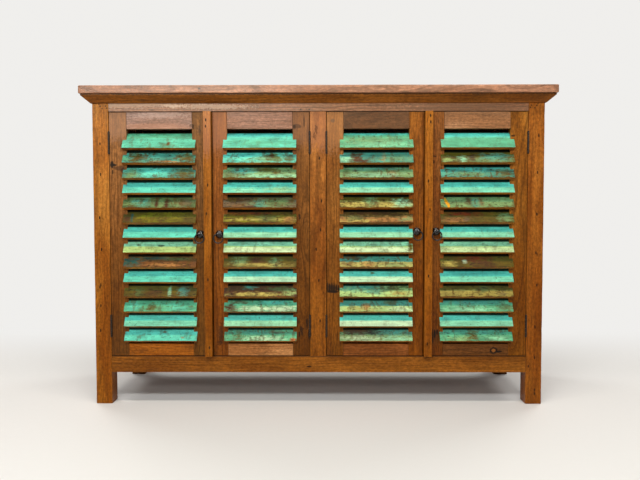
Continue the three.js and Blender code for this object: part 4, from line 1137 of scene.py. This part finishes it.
knuckle_joint = 0.00015
knuckle_rim = 0.0004
strap_start, strap_corner = 0.0005, 0.00005
button = [(0, 0), (0.0025, 0), (0.0025, 0.0004), (0.0020, 0.0010), (0.0010, 0.0014), (0, 0.0014)]
screw_head = [(0, -0.00045), (0.0028, -0.00025), (0.0036, 0.0001), (0, 0.0001)]


def hinge_leaf(name, axis_x, z, side, knuckles, heads, body, node):
    """One leaf with its own knuckles. Side is the way the leaf lies from the axis; heads adds the pin's buttons."""
    mesh = bmesh.new()
    face = axis_x + side * hinge_gap
    x0, x1 = sorted((face, axis_x + side * (hinge_gap + leaf_thick)))
    near_y = hinge_axis_y + leaf_root
    leaf_plate(mesh, x0, x1, near_y, hinge_axis_y + leaf_deep, z - hinge_half + leaf_play, z + hinge_half - leaf_play,
               leaf_corner)
    for k in knuckles:
        z0 = z - hinge_half + k * knuckle_long + knuckle_joint
        z1 = z0 + knuckle_long - 2 * knuckle_joint
        barrel = [(0, z0), (barrel_radius - knuckle_rim, z0), (barrel_radius, z0 + knuckle_rim),
                  (barrel_radius, z1 - knuckle_rim), (barrel_radius - knuckle_rim, z1), (0, z1)]
        turned_part(mesh, barrel, (axis_x, hinge_axis_y, 0), (0, 0, 1))
        leaf_plate(mesh, x0, x1, hinge_axis_y + strap_start, near_y + leaf_play, z0, z1, strap_corner)
    if heads:
        for way in (-1, 1):
            turned_part(mesh, button, (axis_x, hinge_axis_y, z + way * hinge_half), (0, 0, way))
    for rise_by in (-screw_step, 0, screw_step):
        turned_part(mesh, screw_head, (face, hinge_axis_y + screw_line, z + rise_by), (side, 0, 0), 16)
    fit(from_faces(name, mesh, [hinge_iron]), body, "black_iron", node)


for number, (edge, louvre_start, louvre_end, closing) in door_edges.items():
    way = 1 if louvre_start > edge else -1
    axis_x = edge - way * hinge_gap
    for place, z in hinge_heights.items():
        hinge_leaf(f"door_{number}_{place}_leaf", axis_x, z, way, (1, 3), False, f"door_{number}",
                   f"door_{number}_{place}_hinge_leaf")
        hinge_leaf(f"frame_{number}_{place}_leaf", axis_x, z, -way, (0, 2, 4), True, "carcass",
                   f"frame_{number}_{place}_hinge_leaf")

# Pulls. A small domed iron rose is pinned to each lock stile. Its nose is bored for a thin forged ring, which
# hangs free in front of the wood.
pull_places = {1: (-0.3756, 0.548), 2: (-0.3155, 0.548), 3: (0.3155, 0.5565), 4: (0.3756, 0.5565)}
rose_radius = 0.013
rose_out = 0.011
rose_rim = 0.0014
rose_face = -0.1933
dome_radius = rose_radius - 0.0006
dome_steps = 10
nose_half = 0.0025
nose_radius = 0.005
nose_root = rose_face - 0.006
eye_y = -0.21625
eye_rise = 0.0025
eye_radius = 0.0025
ring_radius = 0.01475
wire_radius = 0.0020
ring_turns, wire_sides = 48, 12


def around(steps, radius, y, z, start=0.0, sweep=2 * math.pi, count=None):
    """Points in y and z along a circle or an arc."""
    turns = [start + sweep * i / steps for i in range(count or steps)]
    return [(y + radius * math.cos(turn), z + radius * math.sin(turn)) for turn in turns]


for number, (x, pull_height) in pull_places.items():
    body = f"door_{number}"
    eye_z = pull_height + eye_rise
    mesh = bmesh.new()
    dome = around(dome_steps, 1, 0, 0, 0, math.pi / 2)
    profile = [(0, 0), (rose_radius, 0), (rose_radius, 0.0010), (rose_radius - 0.0004, rose_rim)]
    profile += [(dome_radius * out, rose_rim + (rose_out - rose_rim) * up_by) for out, up_by in dome]
    turned_part(mesh, profile + [(0, rose_out)], (x, rose_face, pull_height), (0, -1, 0), 40)
    outline = around(12, nose_radius, eye_y, eye_z, math.pi / 2, math.pi, 13)
    outline += [(nose_root, eye_z - nose_radius), (nose_root, eye_z + nose_radius)]
    hole = around(16, eye_radius, eye_y, eye_z)
    cheeks = []
    for cheek_x in (x - nose_half, x + nose_half):
        rim, bore = ([mesh.verts.new((cheek_x, y, z)) for y, z in loop] for loop in (outline, hole))
        edges = [mesh.edges.new((loop[i - 1], loop[i])) for loop in (rim, bore) for i in range(len(loop))]
        bmesh.ops.triangle_fill(mesh, use_beauty=True, use_dissolve=False, edges=edges)
        cheeks.append((rim, bore))
    for near, far in zip(*cheeks):
        bridge(mesh, near, far)
    fit(from_faces(f"{body}_rose", mesh, [pull_iron]), body, "black_iron", f"{body}_pull_rose")

    mesh = bmesh.new()
    loops = []
    for i in range(ring_turns):
        turn = 2 * math.pi * i / ring_turns
        wobble = 0.00012 * noise.noise(Vector((number * 3.1, 2.2 * math.cos(turn), 2.2 * math.sin(turn))))
        wire = around(wire_sides, wire_radius, ring_radius + wobble, eye_y)
        loops.append([mesh.verts.new((x + out * math.sin(turn), y, eye_z - ring_radius + out * math.cos(turn)))
                      for out, y in wire])
    for near, far in zip(loops, loops[1:] + loops[:1]):
        bridge(mesh, near, far)
    fit(from_faces(f"{body}_ring", mesh, [ring_iron]), f"ring_{number}", "black_iron", f"{body}_pull_ring")
